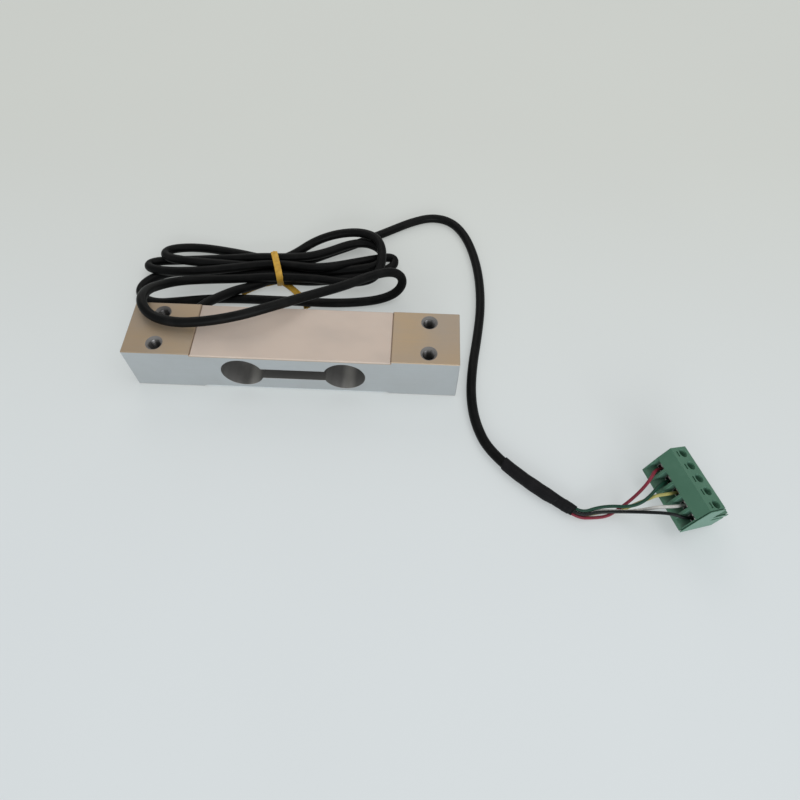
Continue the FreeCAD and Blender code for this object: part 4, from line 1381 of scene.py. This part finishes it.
@dataclass
class CableAssembly:
    """The signal cable, tied in a bundle, with its two shrink sleeves.

    Attributes:
        spec: The cable's route and size.
        sleeves: Its sleeves, from the cores' end back.
        sleeve_look: The sleeves' finish.
        cord: The cable's spline, once it is made.
        pieces: Everything rigid that rides on it, once it is made.
    """

    spec: CableSpec = field(default_factory=CableSpec)
    sleeves: tuple[ShrinkSleeve, ...] = (
        ShrinkSleeve("shrink_sleeve_2", radius=2.22, length=8.6, overlap=-0.4, phase=0),
        ShrinkSleeve("shrink_sleeve_1", radius=2.48, length=21.6, overlap=1.4, phase=1),
    )
    sleeve_look: Jacket = Jacket(
        tone=(0.0085, 0.0083, 0.0090), worn=(0.018, 0.017, 0.018), rough=0.50)
    cord: SplineCord | None = None
    pieces: list[bpy.types.Object] = field(default_factory=list)

    def build(self) -> None:
        """Makes the cable, its sleeves and its tie."""
        self.cord = SplineCord("cable", self.spec.route(), self.spec.diameter)
        finish_piece(
            self.cord.piece, Jacket().build("cable_jacket"), "cable_jacket",
            ("cable_lead_in", "cable_loose_loop", "cable_lead_out", "cable_hank"))
        line, end = self.cord.line(), self.cord.length()
        material = self.sleeve_look.build("sleeve_black")
        for sleeve in self.sleeves:
            self.pieces.append(sleeve.build(line, end, material))
            end -= sleeve.length * MM
        self.pieces.append(TwistTie().build(line))

    def declare(self) -> None:
        round(self.cord.length(), 3)
        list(self.pieces)


@dataclass(frozen=True)
class TieTail:
    """One loose end of the tie.

    Attributes:
        route: Points along its middle.
        roll: Roll at each point, in degrees.
    """

    route: tuple[Point, ...]
    roll: tuple[float, ...]


@dataclass(frozen=True)
class TwistTie:
    """The flat yellow tie: a band round the waist and two crossed tails.

    Attributes:
        width: Its width.
        skin: Thickness of its flat edges.
        core: Extra half thickness over the wire in its middle.
        core_spread: How wide that ridge is, as a share of the half width.
        edge: Half thickness at its very edges, as a share of the skin.
        shares: Where its section has points, as shares of the half width.
        turn: Direction of its band, in degrees.
        reach: Passes nearer than this to the middle are inside it.
        sway: How far the band strays to either side of its plane.
        floor_gap: Lowest height of the band above the floor.
        tails: Its two loose ends.
    """

    width: float = 3.0
    skin: float = 0.35
    core: float = 0.30
    core_spread: float = 0.30
    edge: float = 0.15
    shares: tuple[float, ...] = (-1.0, -0.86, -0.55, -0.28, 0.0, 0.28, 0.55, 0.86, 1.0)
    turn: float = 18.0
    reach: float = 11.0
    sway: float = 0.25
    floor_gap: float = 0.06
    tails: tuple[TieTail, ...] = (
        TieTail(
            ((-14.6, 44.6, 1.8), (-12.9, 44.2, 1.0), (-10.9, 42.9, 0.65), (-8.4, 40.8, 0.6),
             (-4.4, 36.9, 0.55), (-1.8, 33.6, 0.55), (-0.7, 30.2, 0.6)),
            (24.0, 14.0, 6.0, 3.0, 1.0, 0.0, 3.0)),
        TieTail(
            ((-15.4, 44.8, 1.6), (-17.8, 44.4, 0.9), (-22.4, 43.0, 0.6), (-27.6, 39.8, 0.6),
             (-31.2, 37.0, 0.6)),
            (-24.0, -12.0, -4.0, 0.0, 2.0)),
    )

    def section(self) -> list[tuple[float, float]]:
        """Gives half widths and heights of its section, all round.

        Returns:
            Offsets across the tie and out of it, in millimetres.
        """
        half = self.width / 2
        heights = [
            self.skin / 2 + self.core * math.exp(-(share / self.core_spread) ** 2)
            for share in self.shares]
        heights[0] = heights[-1] = self.skin * self.edge
        upper = [(half * share, height) for share, height in zip(self.shares, heights)]
        lower = [(wide, -height) for wide, height in upper[1:-1]]
        return upper + list(reversed(lower))

    def passes(self, line: np.ndarray) -> list[tuple[float, float]]:
        """Finds where the cable goes through the band's plane.

        Args:
            line: The cable's own line, in metres.

        Returns:
            Places across the bundle and above the floor, in millimetres.
        """
        slope = math.radians(self.turn)
        places = line / MM - np.array((TIE_X, TIE_Y, 0.0))
        ahead = places[:, 0] * math.cos(slope) + places[:, 1] * math.sin(slope)
        across = places[:, 1] * math.cos(slope) - places[:, 0] * math.sin(slope)
        found = []
        for index in np.nonzero(np.diff(np.sign(ahead)))[0]:
            if abs(across[index]) < self.reach:
                found.append((float(across[index]), float(places[index, 2])))
        LOG.info("the tie holds %d passes", len(found))
        return found

    def hull(self, centres: list[tuple[float, float]]) -> np.ndarray:
        """Walks round the bundle's passes, where the band's middle lies.

        Args:
            centres: The passes.

        Returns:
            Places across the bundle and above the floor.
        """
        reach = CABLE_DIAMETER / 2 + self.skin / 2 + self.core
        steps, level = 96, 1e-9
        places = []
        for step in range(steps):
            turn = 2 * math.pi * step / steps
            out = (math.cos(turn), math.sin(turn))
            best = max(u * out[0] + z * out[1] for u, z in centres)
            tied = [c for c in centres if c[0] * out[0] + c[1] * out[1] > best - level]
            for centre in sorted(tied, key=lambda c: -c[0] * out[1] + c[1] * out[0]):
                places.append((centre[0] + reach * out[0], centre[1] + reach * out[1]))
        return np.array(places)

    def band(self, maker: MeshMaker, line: np.ndarray) -> None:
        """Adds the closed band.

        Args:
            maker: The piece that it is added to.
            line: The cable's own line, in metres.
        """
        count = 120
        loop = self.hull(self.passes(line))
        closed = np.concatenate([loop, loop[:1]])
        even = evenly(closed, 0.0, distances(closed)[-1], count + 1)[:-1]
        soft = sum(np.roll(even, shift, axis=0) for shift in (-2, -1, 0, 1, 2)) / 5
        slope = math.radians(self.turn)
        across = np.array((-math.sin(slope), math.cos(slope), 0.0))
        beside = np.array((math.cos(slope), math.sin(slope), 0.0))
        middle = np.array((TIE_X, TIE_Y, 0.0))
        rings = []
        for index in range(count):
            ahead = soft[(index + 1) % count] - soft[index - 1]
            ahead = ahead / np.linalg.norm(ahead)
            out = np.array((ahead[1], -ahead[0]))
            sway = self.sway * math.sin(2 * math.pi * index / count)
            ring = []
            for wide, high in self.section():
                flat = soft[index] + out * high
                place = middle + across * flat[0] + beside * (wide + sway)
                place[2] += max(self.floor_gap, flat[1])
                ring.append(place * MM)
            rings.append(maker.ring(ring))
        for index in range(count):
            maker.bridge(rings[index], rings[(index + 1) % count])

    def tail(self, maker: MeshMaker, end: TieTail) -> None:
        """Adds one tail as a strip that rolls a little along its way.

        Args:
            maker: The piece that it is added to.
            end: The tail's route and roll.
        """
        count = 33
        places = np.array(end.route, float)
        along = distances(places)
        line = evenly(places, 0.0, along[-1], count)
        rolls = np.interp(
            np.linspace(0.0, along[-1], count), along, np.radians(np.array(end.roll, float)))
        for _ in range(3):
            line[1:-1] = (line[:-2] + 2 * line[1:-1] + line[2:]) / 4
        frames = Frames(line)
        rings = []
        for index in range(count):
            rise, spread = math.sin(rolls[index]), math.cos(rolls[index])
            across = frames.side[index] * spread + frames.rise[index] * rise
            out = -frames.side[index] * rise + frames.rise[index] * spread
            rings.append(maker.ring(
                (line[index] + across * wide + out * high) * MM
                for wide, high in self.section()))
        for first, second in zip(rings, rings[1:]):
            maker.bridge(first, second)
        maker.cap(rings[0])
        maker.cap(rings[-1], reverse=True)

    def build(self, line: np.ndarray) -> bpy.types.Object:
        """Makes the tie.

        Args:
            line: The cable's own line, in metres.

        Returns:
            The piece.
        """
        maker = MeshMaker("twist_tie_strip")
        self.band(maker, line)
        for end in self.tails:
            self.tail(maker, end)
        material = TieWrap().build("tie_yellow")
        return finish_piece(maker.build(), material, "tie_yellow", ("twist_tie",))


@dataclass
class CoreAssembly:
    """The five insulated cores between the cable and the plug.

    Attributes:
        plug: The plug's frame.
        cable_end: The cable's last two route points.
    """

    plug: PlugFrame = field(default_factory=PlugFrame)
    cable_end: tuple[Point, Point] = (LEAD_OUT[-2], LEAD_OUT[-1])

    def route(self, core: CoreSpec) -> list[Point]:
        """Lists a core's points, from the cable's end into its cage.

        Args:
            core: Which core.

        Returns:
            The spline's points, in millimetres.
        """
        before, end = (Vector(point) for point in self.cable_end)
        heading = (end - before).normalized()
        sideways = Vector((0.0, 0.0, 1.0)).cross(heading).normalized()
        spin = math.radians(core.angle)
        start = end + sideways * CORE_RING * math.cos(spin)
        start.z += CORE_RING * math.sin(spin)
        leave = start + heading * CORE_RUN
        row = self.plug.pole(core.pole)
        mouth = self.plug.place(core.entry, row, WIRE_LEVEL)
        inner = self.plug.place(CORE_DEPTH, row, WIRE_LEVEL)
        return [tuple(start), tuple(leave), *core.middle, mouth, inner]

    def build(self) -> None:
        """Makes every core."""
        for core in CORES:
            cord = SplineCord(core.node + "_core", self.route(core), CORE_DIAMETER)
            slot = core.node.replace("wire_", "core_")
            finish_piece(cord.piece, Insulation(core.tone).build(slot), slot, (core.node,))
            tuple(value * MM for value in self.cable_end[1])
            round(cord.length(), 4)


@dataclass(frozen=True)
class Thread:
    """The M6 thread cut in each mounting hole.

    Attributes:
        pitch: Thread's pitch.
        root: Radius of the wall between crests.
        crest: Radius of the crests.
        flanks: Heights of the outline's four corners, as shares of the pitch.
        low: Where the thread starts above the floor.
        high: Where it ends.
        run_out: Turns over which it starts and ends.
        steps: Points to a turn.
    """

    pitch: float = 1.0
    root: float = 2.498
    crest: float = 2.22
    flanks: tuple[float, float, float, float] = (0.0, 0.38, 0.56, 0.94)
    low: float = 0.9
    high: float = 21.1
    run_out: float = 0.6
    steps: int = 48

    def build(self, number: int, x: float, y: float) -> bpy.types.Object:
        """Makes the thread of one hole as a thin helical wall.

        Args:
            number: Number of the hole.
            x: Hole's middle along the beam.
            y: Hole's middle across it.

        Returns:
            The piece.
        """
        maker = MeshMaker("thread_%d" % number)
        outline = list(zip(self.flanks, (self.root, self.crest, self.crest, self.root)))
        ends = self.run_out * self.steps
        total = int((self.high - self.low) / self.pitch * self.steps)
        rows = []
        for step in range(total + 1):
            angle = 2 * math.pi * step / self.steps
            base = self.low + self.pitch * (step / self.steps)
            fade = min(1.0, step / ends, (total - step) / ends)
            ring = []
            for rise, radius in outline:
                reach = self.root - (self.root - radius) * fade
                height = min(base + rise * self.pitch - 0.5 * self.pitch, self.high)
                ring.append((
                    (x + reach * math.cos(angle)) * MM, (y + reach * math.sin(angle)) * MM,
                    max(height, self.low) * MM))
            rows.append(maker.ring(ring))
        for first, second in zip(rows, rows[1:]):
            maker.bridge(first, second, closed=False)
        return maker.build()


@dataclass
class BeamAssembly:
    """What the CAD beam leaves out: the threads of its mounting holes.

    Attributes:
        holes: Middle of each mounting hole.
    """

    holes: tuple[tuple[float, float], ...] = tuple(
        (x, y) for x in (-BEAM.hole_along, BEAM.hole_along)
        for y in (-BEAM.hole_across, BEAM.hole_across))

    def build(self) -> None:
        """Makes the threads, all with one finish."""
        material = CutThread().build("thread_wall")
        for number, (x, y) in enumerate(self.holes, start=1):
            finish_piece(Thread().build(number, x, y), material, "beam_aluminium")


# ------------------------------------------------------------- CAD finishes
@dataclass(frozen=True)
class EdgeBreak:
    """The small rounding that every made edge has.

    Attributes:
        width: Its width.
        steps: Facets across it.
        angle: Edges sharper than this get it, in degrees.
        weld: Corners nearer than this are joined first.
    """

    width: float
    steps: int = 2
    angle: float = 40.0
    weld: float = 0.002

    def apply(self, piece: bpy.types.Object) -> None:
        """Adds the modifiers.

        Args:
            piece: The CAD node's object.
        """
        weld = piece.modifiers.new("weld", "WELD")
        weld.merge_threshold = self.weld * MM
        bevel = piece.modifiers.new("edge_break", "BEVEL")
        bevel.width = self.width * MM
        bevel.segments = self.steps
        bevel.limit_method = "ANGLE"
        bevel.angle_limit = math.radians(self.angle)
        bevel.use_clamp_overlap = True
        bevel.harden_normals = True
        bevel.miter_outer = "MITER_ARC"


@dataclass
class CadFinisher:
    """Gives every shown CAD node its finish and its edge break.

    Attributes:
        nodes: The CAD nodes by name.
        slots: Each node's material slot.
        made: The finishes that are made so far, by slot.
    """

    nodes: dict[str, bpy.types.Object]
    slots: dict[str, str]
    made: dict[str, bpy.types.Material] = field(default_factory=dict)

    def recipes(self) -> dict[str, Callable[[str], bpy.types.Material]]:
        """Lists the finish of each slot that a CAD node shows.

        Returns:
            The builders, by slot.
        """
        table: dict[str, Callable[[str], bpy.types.Material]] = {
            "beam_aluminium": MilledAluminium().build,
            "silicone_white": Silicone().build,
            "seal_rubber": Jacket((0.012, 0.012, 0.012), (0.03, 0.03, 0.03), rough=0.6).build,
            "gauge_foil": Moulding(
                (0.42, 0.25, 0.08), (0.50, 0.32, 0.12), rough=0.35, grain=1500.0).build,
            "board_laminate": Moulding(
                (0.02, 0.10, 0.04), (0.03, 0.14, 0.06), rough=0.35, grain=2500.0).build,
            "resistor_black": Moulding(
                (0.02, 0.02, 0.02), (0.04, 0.04, 0.04), rough=0.5, grain=3000.0).build,
            "fine_wire": PlatedMetal((0.55, 0.26, 0.11), (0.40, 0.18, 0.08), rough=0.35).build,
            # The plug's faces that look to the front get a painted highlight.
            "plug_green": Moulding(sheen=(0.118, 0.252, 0.184)).build,
            "cage_steel": PlatedMetal((0.55, 0.57, 0.55), (0.40, 0.41, 0.39), rough=0.34).build,
            "contact_tin": PlatedMetal((0.66, 0.65, 0.61), (0.45, 0.44, 0.41), rough=0.28).build,
            "screw_steel": PlatedMetal((0.50, 0.50, 0.50), (0.30, 0.30, 0.29), rough=0.32).build,
        }
        for core in CORES:
            slot = core.node.replace("wire_", "core_")
            table[slot] = Insulation(core.tone).build
        return table

    def build(self) -> None:
        """Finishes every shown node."""
        recipes = self.recipes()
        for name, piece in sorted(self.nodes.items()):
            if piece.hide_render:
                continue
            slot = self.slots[name]
            if slot not in self.made:
                self.made[slot] = recipes[slot](slot + "_finish")
            wear(piece, self.made[slot])
            self.dress(name, piece)
            LOG.info("CAD node %s takes finish %s", name, slot)

    def dress(self, name: str, piece: bpy.types.Object) -> None:
        """Adds the edge break that suits a node.

        Args:
            name: Node's name.
            piece: Its object.
        """
        if name == "beam":
            EdgeBreak(0.10).apply(piece)
        elif name in ("terminal_housing", "terminal_end_plate"):
            EdgeBreak(0.13).apply(piece)
        elif name.startswith(PLUG_METAL):
            EdgeBreak(0.06, steps=1).apply(piece)


# ---------------------------------------------------------------------- stage
@dataclass(frozen=True)
class SoftBox:
    """One soft studio light.

    Attributes:
        name: Its name.
        place: Where it hangs, in millimetres.
        aim: What it looks at, in millimetres.
        size: Its two sides, in millimetres.
        power: Its power, in watts.
        tone: Its colour.
    """

    name: str
    place: Point
    aim: Point
    size: tuple[float, float]
    power: float
    tone: Point = (1.0, 1.0, 1.0)

    def build(self) -> None:
        """Hangs the light."""
        data = bpy.data.lights.new(self.name, "AREA")
        data.shape = "RECTANGLE"
        data.size = self.size[0] * MM
        data.size_y = self.size[1] * MM
        data.energy = self.power
        data.color = self.tone
        lamp = bpy.data.objects.new(self.name, data)
        lamp.location = Vector(self.place) * MM
        lamp.rotation_mode = "QUATERNION"
        direction = Vector(self.aim) - Vector(self.place)
        lamp.rotation_quaternion = direction.to_track_quat("-Z", "Y")
        bpy.context.scene.collection.objects.link(lamp)


@dataclass(frozen=True)
class Studio:
    """Pale table, soft lights and an even pale surround.

    Attributes:
        ambient: Strength of the surround.
        tone: Colour of the surround.
        table_half: Half the table's width.
        table_drop: How far the table lies below the part, so that no faces meet.
        boxes: The lights.
    """

    ambient: float = 0.41
    tone: Point = (0.95, 0.97, 1.0)
    table_half: float = 3000.0
    table_drop: float = 0.05
    boxes: tuple[SoftBox, ...] = (
        SoftBox("window", (-250.0, 1100.0, 850.0), (0.0, 0.0, 0.0), (1000.0, 800.0), 3.2,
                (1.0, 0.97, 0.92)),
        SoftBox("ceiling", (550.0, 0.0, 1250.0), (20.0, 0.0, 0.0), (1100.0, 1100.0), 4.4),
        SoftBox("front", (250.0, -1250.0, 480.0), (20.0, 0.0, 0.0), (1100.0, 500.0), 9.5,
                (0.94, 0.98, 1.0)),
    )

    def build(self) -> None:
        """Makes the stage."""
        scene = bpy.context.scene
        scene.view_settings.view_transform = "Standard"
        world = bpy.data.worlds.new("surround")
        world.use_nodes = True
        surround = world.node_tree.nodes["Background"]
        surround.inputs["Color"].default_value = (*self.tone, 1.0)
        surround.inputs["Strength"].default_value = self.ambient
        scene.world = world
        maker = MeshMaker("table_top")
        maker.cap(maker.ring(
            (x * self.table_half * MM, y * self.table_half * MM, -self.table_drop * MM)
            for x, y in ((-1, -1), (1, -1), (1, 1), (-1, 1))))
        table = maker.build(smooth=False)
        wear(table, TableTop().build("table_top"))
        table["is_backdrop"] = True
        for box in self.boxes:
            box.build()


# ----------------------------------------------------------------- whole scene
class LoadCellScene:
    """Puts the camera, cords, pieces, finishes and stage together."""

    def __init__(self) -> None:
        """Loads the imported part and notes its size."""
        self.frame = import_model()
        self.before = self.corners()
        record = self.frame["record"]
        self.slots = {row["node"]: row["material_slot"] for row in record["subparts"]}

    @staticmethod
    def corners() -> list[list[float]]:
        """Reads the lowest and highest corner of what is shown."""
        return [[round(float(value), 6) for value in corner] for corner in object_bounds()]

    def build(self) -> None:
        """Builds everything."""
        CameraRig().build()
        cable = CableAssembly()
        cable.build()
        cable.declare()
        CoreAssembly().build()
        BeamAssembly().build()
        CadFinisher(self.frame["nodes"], self.slots).build()
        Studio().build()


def main() -> None:
    """Builds the scene and notes its size, ready to be closed."""
    logging.basicConfig(level=logging.INFO, format="%(message)s")
    scene = LoadCellScene()
    scene.build()


if __name__ == "__main__":
    main()
